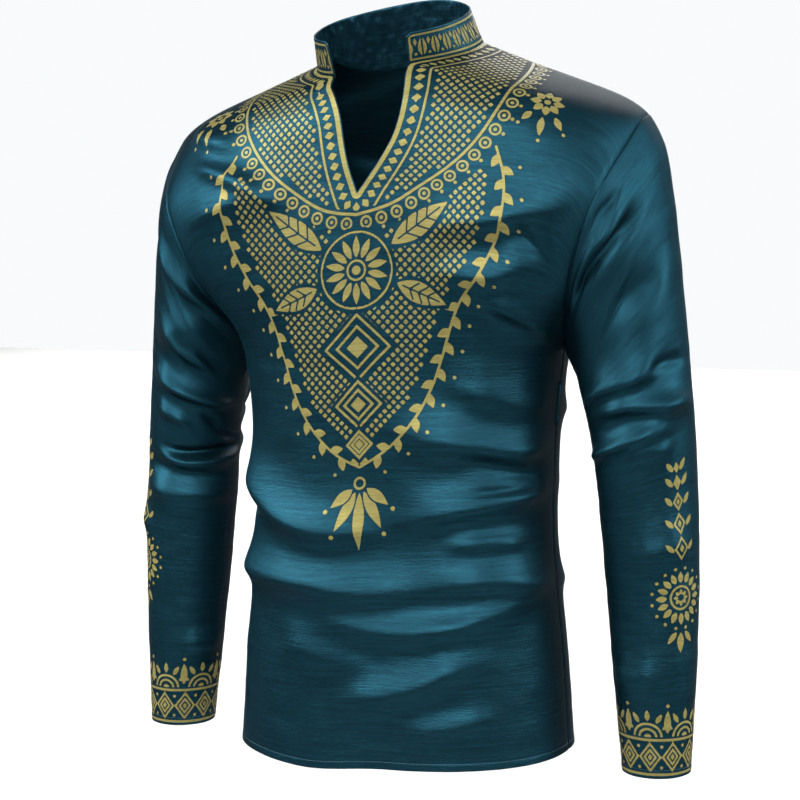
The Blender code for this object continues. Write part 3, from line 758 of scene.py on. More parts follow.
    def back_grid(self, side: int) -> tuple[Array, Array]:
        """Height and across values of a back half, whose columns end at the top edge.

        Args:
            side: 1 for the wearer's left, -1 for the right.

        Returns:
            Heights and across values, rows by columns.
        """
        neck = self.inner_across(np.ones((1, 1)), side)[0, 0]
        middle = np.linspace(0.0, neck, self.back_neck_columns + 1)[:-1]
        across = np.concatenate([middle, neck + (1.0 - neck) * self.shares])[None, :]
        top = self.halve(
            np.full_like(across, BACK_NECK_LOWEST),
            np.ones_like(across),
            lambda v: self.outside_neck(self.form(BACK_ROWS, v, across, side)) < 0,
        )
        top = np.where(across < neck - 1e-6, top, 1.0)
        above = np.concatenate([np.linspace(0.0, 0.97, 84)[1:], [0.98, 0.988, 0.994, 0.9975, 1.0]])
        low = np.broadcast_to(self.low_heights[:, None], (len(self.low_heights), across.size))
        height = np.concatenate([low, UNDERARM + (top - UNDERARM) * above[:, None]])
        return height, np.broadcast_to(across, height.shape)

    def arc(self, rows: Sequence[Row], height: Array, across: Array) -> Array:
        """Distance along a level line from the middle to each place.

        Args:
            rows: the panel's table.
            height: 0 at the hem to 1 at the shoulder seam.
            across: 0 at the middle to 1 at the side or the armhole.

        Returns:
            Distances in mm.
        """
        total = np.zeros_like(across)
        last = self.form(rows, height, 0.0 * across, 1)
        for i in range(1, 25):
            here = self.form(rows, height, across * i / 24, 1)
            total += np.linalg.norm(here - last, axis=-1)
            last = here
        return total

    def half(self, piece: Piece, side: int) -> tuple[Patch, Array]:
        """One half of a panel with its folds.

        Args:
            piece: the panel.
            side: 1 for the wearer's left, -1 for the right.

        Returns:
            The patch, whose normals are those of the plain form, and its rise along them.
        """
        front = piece is Piece.FRONT
        rows, others = (FRONT_ROWS, BACK_ROWS) if front else (BACK_ROWS, FRONT_ROWS)
        folds, passing = (FRONT_FOLDS, BACK_FOLDS) if front else (BACK_FOLDS, FRONT_FOLDS)
        height, across = self.front_grid(side) if front else self.back_grid(side)
        own = side * self.arc(rows, height, across)
        width = self.arc(rows, height, np.ones_like(across))
        to_side = width - np.abs(own)
        points = self.ease_underarm(self.form(rows, height, across, side), height, to_side)
        normals = grid_normals(points, torso_outward(points))
        level = points[..., 2]
        round_side = side * (width + self.arc(others, height, np.ones_like(across)) - np.abs(own))
        passes = smooth((self.passing_below - level) / self.passing_fade)
        near = smooth(1.0 - to_side / self.calm_seam)
        top = 1.0 - smooth((height - 1.0 + self.top_fade) / self.top_fade)
        rise = np.zeros_like(level)
        for fold in folds:
            rise += fold_rise(fold, own, level) * (1.0 - (1.0 - passes) * near) * top
        for fold in passing:
            rise += fold_rise(fold, round_side, level) * passes
        fine = np.zeros_like(level)
        for seed, waves in enumerate(TORSO_WAVES, 3 if front else 7):
            cells = (own / waves.across + waves.first, level / waves.up + waves.lowest)
            fine += waves.share * ripple(*cells, seed)
        rise += self.ripple_rise * fine * smooth(to_side / self.ripple_reach) * top
        rise *= 1.0 - self.side_calm * smooth(1.0 - to_side / self.calm_reach)
        above = self.above_hem(points)
        rise += turned_edge(above)
        chart = np.stack([own, above], -1)
        return Patch(points, normals, chart, np.zeros_like(points)), rise

    def ease_underarm(self, points: Array, height: Array, to_side: Array) -> Array:
        """Round the level line where the side line turns its corner, and keep the side line.

        Args:
            points: places in mm, rows by columns.
            height: 0 at the hem to 1 at the shoulder seam.
            to_side: distance from the side line in mm.

        Returns:
            The same points, eased.
        """
        weight = 0.5 * bell(height - UNDERARM, self.ease_height) * smooth(to_side / self.ease_reach)
        for _ in range(self.ease_passes):
            middle = 0.5 * (points[2:] + points[:-2])
            points[1:-1] += weight[1:-1, :, None] * (middle - points[1:-1])
        return points

    def above_hem(self, points: Array) -> Array:
        """Distance of each place up the cloth from the hem, measured along its column."""
        steps = np.linalg.norm(np.diff(points, axis=0), axis=-1)
        return np.concatenate([np.zeros_like(steps[:1]), np.cumsum(steps, axis=0)])

    def halves(self) -> dict[tuple[Piece, int], Patch]:
        """All four halves with folds, with shared normals on side and shoulder seams.

        Returns:
            The patches by panel and side.
        """
        made = {}
        for side in (1, -1):
            front, front_rise = self.half(Piece.FRONT, side)
            back, back_rise = self.half(Piece.BACK, side)
            self.share_normals(front.normals, back.normals)
            for piece, patch, rise in (
                (Piece.FRONT, front, front_rise),
                (Piece.BACK, back, back_rise),
            ):
                patch.points = patch.points + patch.normals * rise[..., None]
                patch.normals = grid_normals(patch.points, torso_outward(patch.points))
                made[piece, side] = patch
            self.share_normals(front.normals, back.normals)
        return made

    def share_normals(self, front: Array, back: Array) -> None:
        """Give the side seam and the shoulder seam one normal each.

        Args:
            front: the front half's normals.
            back: the back half's normals.
        """
        low = slice(0, len(self.low_heights))
        neck = self.back_neck_columns
        front[low, -1], back[low, -1] = blend_normals(front[low, -1], back[low, -1])
        front[-1], back[-1, neck:] = blend_normals(front[-1], back[-1, neck:])

    def sink_seams(self, halves: dict[tuple[Piece, int], Patch]) -> None:
        """Draw the cloth inward beside each seam, and part the side seams at the vents."""
        for (piece, _), patch in halves.items():
            points = patch.points
            to_side = self.run_to(points, 1)
            to_top = self.run_to(points, 0)
            if piece is Piece.BACK:
                to_top[:, : self.back_neck_columns] = FAR
            depth = np.maximum(bell(to_side, self.seam_width), bell(to_top, self.seam_width))
            vectors = patch.normals.copy()
            set_edge = np.linalg.norm(patch.dip, axis=-1) > 0
            vectors[set_edge] = patch.dip[set_edge]
            edge = points[: len(self.low_heights), -1].copy()
            patch.points = points - vectors * (self.seam_depth * depth)[..., None]
            turn = -1.0 if piece is Piece.FRONT else 1.0
            spread = smooth(1.0 - (edge[:, 2] - edge[0, 2]) / self.vent_height)
            patch.points[: len(edge), -1, 1] += turn * self.vent_spread * spread

    def run_to(self, points: Array, axis: int) -> Array:
        """Distance along the grid from each point to the last one of its row or column.

        Args:
            points: places in mm, rows by columns.
            axis: 0 for a column's end, 1 for a row's.

        Returns:
            Distances in mm.
        """
        steps = np.linalg.norm(np.diff(points, axis=axis), axis=-1)
        total = np.flip(np.cumsum(np.flip(steps, axis), axis), axis)
        end = np.zeros_like(points[-1:, :, 0] if axis == 0 else points[:, -1:, 0])
        return np.concatenate([total, end], axis)


@dataclass
class Sleeve:
    """One set-in sleeve: the armhole's own curve easing into a tapering tube, with folds."""

    side: Side
    folds: Sequence[Fold]
    columns: int = 124
    step_down: float = 2.7
    length: float = 660.0
    girth: float = 300.0
    blend: float = 0.30
    ripple_rise: float = 0.6
    seam_depth: float = 0.9
    seam_width: float = 2.2
    side_calm: float = 0.3
    armhole_fade: float = 52.0
    patch: Patch = field(init=False)

    def ring(self, run: Array, angle: Array) -> Array:
        """Plain tube: ellipses between the outer and the inner line.

        Args:
            run: 0 at the armhole to 1 at the cuff.
            angle: degrees round the sleeve.

        Returns:
            Points in mm.
        """
        names = ("outer_x", "outer_z", "inner_x", "inner_z", "middle_y", "half_depth", "right_inset")
        outer_x, outer_z, inner_x, inner_z, mid_y, depth, inset = read(
            SLEEVE_SECTIONS, run, "run", names
        )
        outer_x = outer_x - inset * (self.side is Side.RIGHT)
        turn = np.cos(np.radians(angle))
        x = 0.5 * (outer_x + inner_x) + 0.5 * (outer_x - inner_x) * turn
        z = 0.5 * (outer_z + inner_z) + 0.5 * (outer_z - inner_z) * turn
        y = mid_y - depth * np.sin(np.radians(angle))
        return np.stack([self.side.value * x, y, z], -1)

    def edge_angles(self, torso: Torso) -> tuple[Array, Array]:
        """Degrees round the sleeve of the armhole points of the front and of the back.

        Args:
            torso: the torso's sizes.

        Returns:
            The front's angles and the back's.
        """
        side = self.side.value
        half_turn = 180.0 / (1.0 - UNDERARM)
        front = torso.front_grid(side)[0][len(torso.low_heights) - 1 :, -1]
        back = torso.back_grid(side)[0][len(torso.low_heights) - 1 :, -1]
        return (1.0 - front) * half_turn, 360.0 - (1.0 - back) * half_turn

    def build(self, torso: Torso, halves: dict[tuple[Piece, int], Patch]) -> Patch:
        """Work out the sleeve and share its normals with the armhole.

        Args:
            torso: the torso's sizes.
            halves: the torso's patches, whose armhole normals change.

        Returns:
            The sleeve's patch, rows down the sleeve and columns round it.
        """
        side = self.side.value
        first = len(torso.low_heights) - 1
        front, back = halves[Piece.FRONT, side], halves[Piece.BACK, side]
        front_angle, back_angle = self.edge_angles(torso)
        known = np.concatenate([front_angle[::-1], back_angle[1:]])
        curve = np.concatenate([front.points[first:, -1][::-1], back.points[first + 1 :, -1]])
        turns = np.arange(self.columns) * 360.0 / self.columns
        armhole = read_line(turns, known, curve)
        down = refined(self.length, self.step_down, SEAM_STEPS, HEM_STEPS)
        angle, down = np.broadcast_arrays(turns[None, :], down[:, None])
        run = down / self.length
        ease = 1.0 - smooth(run / self.blend)
        points = self.ring(run, angle) + (armhole - self.ring(0.0 * turns, turns)) * ease[..., None]
        centre = points.mean(axis=1, keepdims=True)
        normals = grid_normals(points, points - centre, wrap=True)
        rise = self.relief(angle, down)
        points = points + normals * rise[..., None]
        normals = grid_normals(points, points - centre, wrap=True)
        self.patch = Patch(points, normals, self.flat(angle, down, points), np.zeros_like(points))
        self.share_armhole(front, back, first, front_angle, back_angle, turns)
        return self.patch

    def relief(self, angle: Array, down: Array) -> Array:
        """Folds, fine ripples and the turned cuff edge, in mm outward.

        Args:
            angle: degrees round the sleeve.
            down: distance down the sleeve.

        Returns:
            The rise at each place.
        """
        rise = np.zeros(down.shape)
        scale = self.girth / 360.0
        for fold in self.folds:
            first = fold.path[0][0]
            path = [((turn - first) * scale, -place) for turn, place in fold.path]
            turned = folded(angle - first, 360.0) * scale
            rise += fold_rise(fold._replace(path=path), turned, -down)
        seed = 11 + self.side.value
        rise += self.ripple_rise * ripple(angle / 45.0, down / 24.0 + 30.0, seed, wrap=8)
        rise += 0.5 * self.ripple_rise * ripple(angle / 22.5, down / 13.0, seed + 3, wrap=16)
        calm = 1.0 - self.side_calm * np.cos(np.radians(angle)) ** 4
        return rise * smooth(down / self.armhole_fade) * calm + turned_edge(self.length - down)

    def flat(self, angle: Array, down: Array, points: Array) -> Array:
        """Flat chart: distance round from the outside line, and distance up from the cuff.

        Args:
            angle: degrees round the sleeve.
            down: distance down the sleeve.
            points: places in mm, rows by columns.

        Returns:
            Places across and up.
        """
        ring = np.linalg.norm(np.roll(points, -1, axis=1) - points, axis=-1)
        girth = ring.sum(axis=1, keepdims=True)
        return np.stack([angle / 360.0 * girth, self.length - down], -1)

    def share_armhole(
        self,
        front: Patch,
        back: Patch,
        first: int,
        front_angle: Array,
        back_angle: Array,
        turns: Array,
    ) -> None:
        """Blend the normals along the armhole and note the one way both cloths sink there.

        Args:
            front: the front half.
            back: the back half.
            first: the row at the underarm.
            front_angle: degrees of the front's armhole points.
            back_angle: degrees of the back's armhole points.
            turns: degrees of the sleeve's columns.
        """
        ring = self.patch.normals[0]
        closed = np.concatenate([ring, ring[:1]])
        places = np.append(turns, 360.0)
        known, sunk = [], []
        for patch, angles in ((front, front_angle), (back, back_angle)):
            here = read_line(angles, places, closed)
            own = patch.normals[first:, -1]
            patch.dip[first:, -1] = 0.5 * (own + here)
            known.append(angles)
            sunk.append(0.5 * (own + here))
            own[:], _ = blend_normals(own, here)
        order = np.concatenate([known[0][::-1], known[1][1:]])
        dip = np.concatenate([sunk[0][::-1], sunk[1][1:]])
        edge_dip = read_line(turns, order, dip)
        self.patch.dip[0] = edge_dip
        ring[:], _ = blend_normals(ring, unit(2.0 * edge_dip - ring))

    def sink_seam(self) -> None:
        """Draw the sleeve's first rows inward, with the armhole's edge."""
        patch = self.patch
        down = self.length - patch.chart[..., 1]
        vectors = patch.normals.copy()
        vectors[0] = patch.dip[0]
        depth = self.seam_depth * bell(down, self.seam_width)
        patch.points = patch.points - vectors * depth[..., None]


@dataclass
class Collar:
    """Stand collar: rises from the neckline to a smaller, forward, tilted top edge."""

    columns: int = 210
    rows: int = 26
    top_width: float = 78.0
    front_fan: float = 16.0
    top_centre_y: float = -35.0
    top_front_depth: float = 80.0
    top_back_depth: float = 76.0
    top_front_y: float = -106.0
    top_slope: float = 0.33
    gap: float = 0.1
    end_rounding: float = 3.5
    end_reach: float = 0.02
    end_steps: Sequence[float] = (0.0, 0.7, 1.6)
    wall: float = 1.5
    crinkle: float = 1.0

    def neckline(self, torso: Torso, halves: dict[tuple[Piece, int], Patch]) -> Array:
        """Points round the neck opening, from the left front end behind the neck to the right.

        Args:
            torso: the torso's sizes.
            halves: the torso's patches by panel and side.

        Returns:
            The points in order.
        """
        front_left, front_right = (halves[Piece.FRONT, side] for side in (1, -1))
        back_left, back_right = (halves[Piece.BACK, side] for side in (1, -1))
        first = int(np.argmax(torso.outside_neck(front_left.points[:, 0]) < self.end_reach))
        neck = torso.back_neck_columns
        line = np.concatenate(
            [
                front_left.points[first:, 0],
                back_left.points[-1, neck - 1 :: -1],
                back_right.points[-1, 1:neck],
                front_right.points[first:, 0][::-1],
            ]
        )
        length = run_along(line)
        at = refined(length[-1], length[-1] / self.columns, self.end_steps, self.end_steps)
        return read_line(at, length, line)

    def build(self, torso: Torso, base: Array) -> Patch:
        """Straight lines from the neckline to the top edge.

        Args:
            torso: the torso's sizes.
            base: points round the neckline.

        Returns:
            The outer face, rows up the collar.
        """
        ahead = base[:, 1] < torso.neck_centre_y
        depth = np.where(ahead, torso.neck_front_depth, torso.neck_back_depth)
        share_y = (base[:, 1] - torso.neck_centre_y) / depth
        share_x = base[:, 0] / torso.neck_half_width
        width = self.top_width + self.front_fan * np.minimum(share_y, 0.0) ** 2
        reach = np.where(ahead, self.top_front_depth, self.top_back_depth)
        top = np.stack([share_x * width, self.top_centre_y + reach * share_y, 0.0 * share_x], -1)
        top[:, 2] = self.top_slope * (top[:, 1] - self.top_front_y)
        top[:, 2] -= 0.5 * torso.low_side_drop(top[:, 0])
        run = run_along(base)
        to_end = np.minimum(run, run[-1] - run)
        top[:, 2] -= self.end_rounding * (1.0 - smooth(to_end / 7.0)) ** 2
        start = base + np.array([0.0, 0.0, self.gap])
        share = np.concatenate([[0.0, 0.03], np.linspace(0.07, 0.95, self.rows), [0.98, 1.0]])
        points = start + (top - start) * share[:, None, None]
        tall = np.linalg.norm(top - start, axis=-1)
        chart = np.stack(np.broadcast_arrays(run[None, :], share[:, None] * tall[None, :]), -1)
        normals = grid_normals(points, points - np.array([0.0, torso.neck_centre_y, 0.0]))
        bow = 0.5 * ripple(run / 31.0, 0.0 * run, 21) * smooth(share)[:, None]
        points = points + normals * bow[..., None]
        return Patch(points, normals, chart, np.zeros_like(points))

    def thickness(self, patch: Patch) -> Array:
        """Wall of two plies: the inner one is crinkled, in short upright waves.

        Args:
            patch: the piece's patch.

        Returns:
            The wall at each point in mm.
        """
        run, up = patch.chart[..., 0], patch.chart[..., 1]
        waves = ripple(run / 5.5 + 0.25 * ripple(up / 9.0, run / 30.0, 5), up / 17.0 + 9.0, 31)
        waves += 0.7 * ripple(run / 3.4, up / 6.5, 37)
        tall = patch.chart[-1:, :, 1]
        inside = smooth(up / 5.0) * smooth((tall - up) / 4.0)
        return self.wall + self.crinkle * waves * inside


def grid_faces(index: Array) -> Array:
    """Quads of a grid of point numbers."""
    corners = [index[:-1, :-1], index[:-1, 1:], index[1:, 1:], index[1:, :-1]]
    return np.stack(corners, -1).reshape(-1, 4)


def numbered(shape: tuple[int, int]) -> Array:
    """Point numbers of a grid, row by row."""
    return np.arange(shape[0] * shape[1]).reshape(shape)


def ring_faces(shape: tuple[int, int]) -> Array:
    """Quads of a grid whose columns close into a ring."""
    index = numbered(shape)
    return grid_faces(np.concatenate([index, index[:, :1]], axis=1))


def renumbered(used: Array, count: int) -> Array:
    """New number of each point when only the used ones are kept, -1 for the others.

    Args:
        used: numbers of the kept points, rising.
        count: how many points there are.

    Returns:
        The new numbers.
    """
    order = np.full(count, -1)
    order[used] = np.arange(len(used))
    return order


def make_object(
    name: str,
    points: Array,
    polygons: list,
    material: bpy.types.Material,
    flat: Array | None = None,
    normals: Array | None = None,
) -> bpy.types.Object:
    """Put a mesh in the scene as a piece of the object.

    Args:
        name: the piece's name.
        points: vertices in mm.
        polygons: lists of vertex numbers, turned outward.
        material: its finish.
        flat: flat place of each vertex in mm, kept as the UV map in metres.
        normals: shading normal of each vertex, where it follows another surface.

    Returns:
        The object, riding on the shirt's one body.
    """
    mesh = bpy.data.meshes.new(name)
    mesh.from_pydata(points * MM, [], polygons)
    mesh.validate()
    mesh.shade_smooth()
    if flat is not None:
        numbers = np.empty(len(mesh.loops), np.int32)
        mesh.loops.foreach_get("vertex_index", numbers)
        layer = mesh.uv_layers.new(name="cloth")
        layer.data.foreach_set("uv", (flat[numbers] * MM).astype(np.float32).ravel())
    if normals is not None:
        mesh.normals_split_custom_set_from_vertices(normals)
    mesh.materials.append(material)
    mesh.update()
    piece = bpy.data.objects.new(name, mesh)
    bpy.context.scene.collection.objects.link(piece)
    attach(piece, BODY)
    log.info("%s: %d faces", name, len(mesh.polygons))
    return piece


@dataclass
class Wall:
    """A wall of cloth: outer face, inner face and a rounded rim along every open edge."""

    name: str
    points: Array
    normals: Array
    flat: Array
    faces: Array
    thickness: Array
    rim_bulge: float = 0.35

    @classmethod
    def from_halves(cls, name: str, left: Patch, right: Patch, shared: int, wall: Array) -> "Wall":
        """One sheet from two halves that share their middle column up to a given row.

        Args:
            name: the piece's name.
            left: the wearer's left half.
            right: the wearer's right half.
            shared: how many rows share the middle column.
            wall: thickness at each point of a half.

        Returns:
            The wall.
        """
        index = numbered(left.points.shape[:2])
        count = index.size
        mirror = index + count
        mirror[:shared, 0] = index[:shared, 0]
        points, normals, flat = [
            np.concatenate([getattr(half, part).reshape(count, -1) for half in (left, right)])
            for part in ("points", "normals", "chart")
        ]
        middle = index[:shared, 0]
        normals[middle] += normals[middle + count]
        faces = np.concatenate([grid_faces(index), grid_faces(mirror)[:, [0, 3, 2, 1]]])
        return cls(name, points, unit(normals), flat, faces, np.tile(wall.reshape(-1), 2))

    @classmethod
    def from_patch(cls, name: str, patch: Patch, faces: Array, wall: Array) -> "Wall":
        """A wall from one grid.

        Args:
            name: the piece's name.
            patch: the piece's patch.
            faces: quads, as vertex numbers.
            wall: thickness at each point.

        Returns:
            The wall.
        """
        parts = (patch.points, patch.normals, patch.chart)
        points, normals, flat = [part.reshape(-1, part.shape[-1]) for part in parts]
        return cls(name, points, normals, flat, faces, wall.reshape(-1))

    def build(self, material: bpy.types.Material) -> bpy.types.Object:
        """Make the mesh.

        Args:
            material: the cloth's finish.

        Returns:
            The object.
        """
        used = np.unique(self.faces)
        faces = renumbered(used, len(self.points))[self.faces]
        outer, normals, flat = self.points[used], self.normals[used], self.flat[used]
        quad = outer[faces]
        turn = np.cross(quad[:, 2] - quad[:, 0], quad[:, 3] - quad[:, 1])
        if np.sum(turn * normals[faces[:, 0]]) < 0:
            faces = faces[:, ::-1]
        count = len(used)
        inner = outer - normals * self.thickness[used][:, None]
        a, b = self.open_edges(faces, count)
        away = np.zeros_like(outer)
        across = unit(np.cross(outer[b] - outer[a], normals[a]))
        np.add.at(away, a, across)
        np.add.at(away, b, across)
        length = np.maximum(np.linalg.norm(away, axis=-1, keepdims=True), 1e-9)
        bulge = self.rim_bulge * self.thickness[used][:, None] * away / length
        middle = 0.5 * (outer + inner) + bulge
        rim = np.concatenate(
            [
                np.stack([b, a, a + 2 * count, b + 2 * count], -1),
                np.stack([b + 2 * count, a + 2 * count, a + count, b + count], -1),
            ]
        )
        polygons = np.concatenate([faces, faces[:, ::-1] + count, rim])
        kept = np.unique(polygons)
        polygons = renumbered(kept, 3 * count)[polygons].tolist()
        points = np.concatenate([outer, inner, middle])[kept]
        places = np.concatenate([flat, flat, flat])[kept]
        return make_object(self.name, points, polygons, material, places)

    @staticmethod
    def open_edges(faces: Array, count: int) -> tuple[Array, Array]:
        """Ends of the edges that only one face uses, in that face's direction.

        Args:
            faces: quads, as vertex numbers.
            count: how many points there are.

        Returns:
            Numbers of the edges' starts and of their ends.
        """
        start = faces.reshape(-1)
        end = np.roll(faces, -1, axis=1).reshape(-1)
        lone = ~np.isin(start * count + end, end * count + start)
        return start[lone], end[lone]


def disc(x: Array, y: Array, centre: Place, radius: float) -> Array:
    """Distance outside a circle."""
    return np.hypot(x - centre[0], y - centre[1]) - radius


def lozenge(x: Array, y: Array, centre: Place, wide: float, tall: float) -> Array:
    """Distance outside a lozenge with half width wide and half height tall."""
    share = np.abs(x - centre[0]) / wide + np.abs(y - centre[1]) / tall - 1.0
    return share * wide * tall / np.hypot(wide, tall)


def stroke(x: Array, y: Array, path: Path, width: float) -> Array:
    """Distance outside a line drawn along a path."""
    return path_distance(path, x, y)[0] - 0.5 * width


def leaf(x: Array, y: Array, base: Place, tip: Place, wide: float) -> Array:
    """Distance outside a leaf from base to tip, whose half width is wide times a sine arch.

    Args:
        x: places across.
        y: places up.
        base: where the leaf starts.
        tip: where the leaf ends.
        wide: half its width.

    Returns:
        The distance.
    """
    run = np.subtract(tip, base)
    length = np.hypot(*run)
    share = ((x - base[0]) * run[0] + (y - base[1]) * run[1]) / length**2
    aside = np.abs((x - base[0]) * run[1] - (y - base[1]) * run[0]) / length
    arch = wide * np.sin(np.pi * np.clip(share, 0.0, 1.0) ** 0.85)
    return np.maximum(aside - arch, (np.abs(share - 0.5) - 0.5) * length)


def petals(x: Array, y: Array, centre: Place, count: int, reach: Place, wide: float) -> Array:
    """Distance outside a ring of leaves that point away from a centre.

    The angle is folded into one sector, so one leaf stands for all.

    Args:
        x: places across.
        y: places up.
        centre: the ring's centre.
        count: how many leaves.
        reach: where a leaf starts and ends, from the centre.
        wide: half width of a leaf.

    Returns:
        The distance.
    """
    sector = 2.0 * np.pi / count
    angle = np.arctan2(x - centre[0], y - centre[1])
    turned = folded(angle, sector)
    away = np.hypot(x - centre[0], y - centre[1])
    return leaf(away * np.sin(turned), away * np.cos(turned), (0.0, reach[0]), (0.0, reach[1]), wide)


def net(x: Array, y: Array, pitch: float, gap: float) -> Array:
    """Distance outside a diagonal net of small squares with gaps between them.

    Args:
        x: places across.
        y: places up.
        pitch: distance from one to the next.
        gap: bare width between two squares.

    Returns:
        The distance.
    """
    first = np.abs(((x + y) / np.sqrt(2.0)) % pitch - 0.5 * pitch)
    second = np.abs(((x - y) / np.sqrt(2.0)) % pitch - 0.5 * pitch)
    return np.maximum(first, second) - 0.5 * (pitch - gap)


def net_centres(x: Array, y: Array, pitch: float) -> tuple[Array, Array]:
    """Centre of the net's square at each place.

    Args:
        x: places across.
        y: places up.
        pitch: distance from one to the next.

    Returns:
        The centre's places across and up.
    """
    first = (np.floor((x + y) / np.sqrt(2.0) / pitch) + 0.5) * pitch
    second = (np.floor((x - y) / np.sqrt(2.0) / pitch) + 0.5) * pitch
    return (first + second) / np.sqrt(2.0), (first - second) / np.sqrt(2.0)


def inside(x: Array, y: Array, corners: Path) -> Array:
    """Whether places are inside a closed outline: an odd number of its edges lies to the right.

    Args:
        x: places across.
        y: places up.
        corners: the outline's corners.

    Returns:
        True for the places inside.
    """
    odd = np.zeros(x.shape, bool)
    last = corners[-1]
    for here in corners:
        if here[1] != last[1]:
            level = (y < here[1]) != (y < last[1])
            cross = last[0] + (y - last[1]) * (here[0] - last[0]) / (here[1] - last[1])
            odd ^= level & (x < cross)
        last = here
    return odd


def along(path: Path, pitch: float, start: float) -> list[tuple[Array, Array]]:
    """Even places on a path, each with the path's direction there.

    Args:
        path: the path's corners.
        pitch: distance from one to the next.
        start: where the first place is.

    Returns:
        Pairs of a place and a direction.
    """
    corners = np.asarray(path, float)
    knots = run_along(corners)
    at = np.arange(start, knots[-1], pitch)
    places, ahead, behind = [read_line(at + step, knots, corners) for step in (0.0, 1.0, -1.0)]
    return list(zip(places, unit(ahead - behind)))


class Drawing:
    """A flat drawing on a square grid, kept as distances in mm that are negative in the print.

    bare is the distance that stands for plain cloth far from the print.
    """

    bare = 6.0

    def __init__(self, low: Place, high: Place, step: float, columns: int = 0) -> None:
        """Set up a bare grid between two corners, with a given number of columns if any.

        Args:
            low: the corner with the smaller numbers.
            high: the corner with the larger numbers.
            step: a cell's size in mm.
            columns: how many columns, or 0 to let the step set them.
        """
        columns = columns or int(round((high[0] - low[0]) / step)) + 1
        across = np.linspace(low[0], high[0], columns)
        up = np.linspace(low[1], high[1], int(round((high[1] - low[1]) / step)) + 1)
        self.x, self.y = np.meshgrid(across, up)
        self.field = np.full(self.x.shape, self.bare)

    def part(self, low: Place, high: Place) -> tuple[slice, slice]:
        """The rows and columns between two corners.

        Args:
            low: the corner with the smaller numbers.
            high: the corner with the larger numbers.

        Returns:
            A slice of rows and a slice of columns.
        """
        rows = np.searchsorted(self.y[:, 0], (low[1], high[1]))
        columns = np.searchsorted(self.x[0], (low[0], high[0]))
        return slice(rows[0], rows[1] + 1), slice(columns[0], columns[1] + 1)

    def add(self, away: Array) -> None:
        """Print a shape given as distances over the whole grid."""
        self.field = np.minimum(self.field, away)

    def clear(self, box: tuple[Place, Place], shape: Callable[..., Array], *sizes: object) -> None:
        """Leave a shape bare, within two corners that hold it.

        Args:
            box: two corners that hold it.
            shape: function of x, y and sizes that gives distances.
            sizes: passed on to it.
        """
        part = self.part(*box)
        bare = shape(self.x[part], self.y[part], *sizes)
        self.field[part] = np.maximum(self.field[part], -bare)

    def near(
        self,
        shape: Callable[..., Array],
        *sizes: object,
        line: float = 0.0,
        margin: float = 0.0,
        box: tuple[Place, Place] | None = None,
    ) -> None:
        """Print a shape, or its outline, and keep a bare margin round it.

        Args:
            shape: function of x, y and sizes that gives distances.
            sizes: passed on to it.
            line: width of its outline, or 0 for a filled shape.
            margin: bare width round it.
            box: two corners that hold it, or none for the whole grid.
        """
        part = self.part(*box) if box else (slice(None), slice(None))
        away = shape(self.x[part], self.y[part], *sizes)
        field = self.field[part]
        if margin:
            field = np.maximum(field, margin - away)
        if line:
            away = np.abs(away + 0.5 * line) - 0.5 * line
        self.field[part] = np.minimum(field, away)

    def dot(self, centre: Place, radius: float, line: float = 0.0, margin: float = 0.0) -> None:
        """Print a dot or a small ring."""
        box = self.around([centre], radius + margin + 2.0)
        self.near(disc, centre, radius, line=line, margin=margin, box=box)

    def leaf(self, base: Place, tip: Place, wide: float, margin: float = 0.0) -> None:
        """Print a leaf."""
        box = self.around([base, tip], wide + margin + 2.0)
        self.near(leaf, base, tip, wide, margin=margin, box=box)

    def line(self, path: Path, width: float, margin: float = 0.0) -> None:
        """Print a line along a path."""
        self.near(stroke, path, width, margin=margin, box=self.around(path, width + margin + 2.0))

    @staticmethod
    def around(places: Path, room: float) -> tuple[Array, Array]:
        """Two corners that hold some places with room to spare."""
        return np.min(places, axis=0) - room, np.max(places, axis=0) + room


# Faces of the printed part of a grid cell for each set of printed corners: corners 0 to 3 run
# round the cell, and 4 to 7 are the print's edge on the cell's sides.
CELL_FACES = {
    1: ((0, 4, 7),),
    2: ((4, 1, 5),),
    3: ((0, 1, 5, 7),),
    4: ((5, 2, 6),),
    5: ((0, 4, 7), (5, 2, 6)),
    6: ((4, 1, 2, 6),),
    7: ((0, 1, 2, 6, 7),),
    8: ((7, 6, 3),),
    9: ((0, 4, 6, 3),),
    10: ((4, 1, 5), (7, 6, 3)),
    11: ((0, 1, 5, 6, 3),),
    12: ((7, 5, 2, 3),),
    13: ((0, 4, 5, 2, 3),),
    14: ((4, 1, 2, 3, 7),),
    15: ((0, 1, 2, 3),),
}


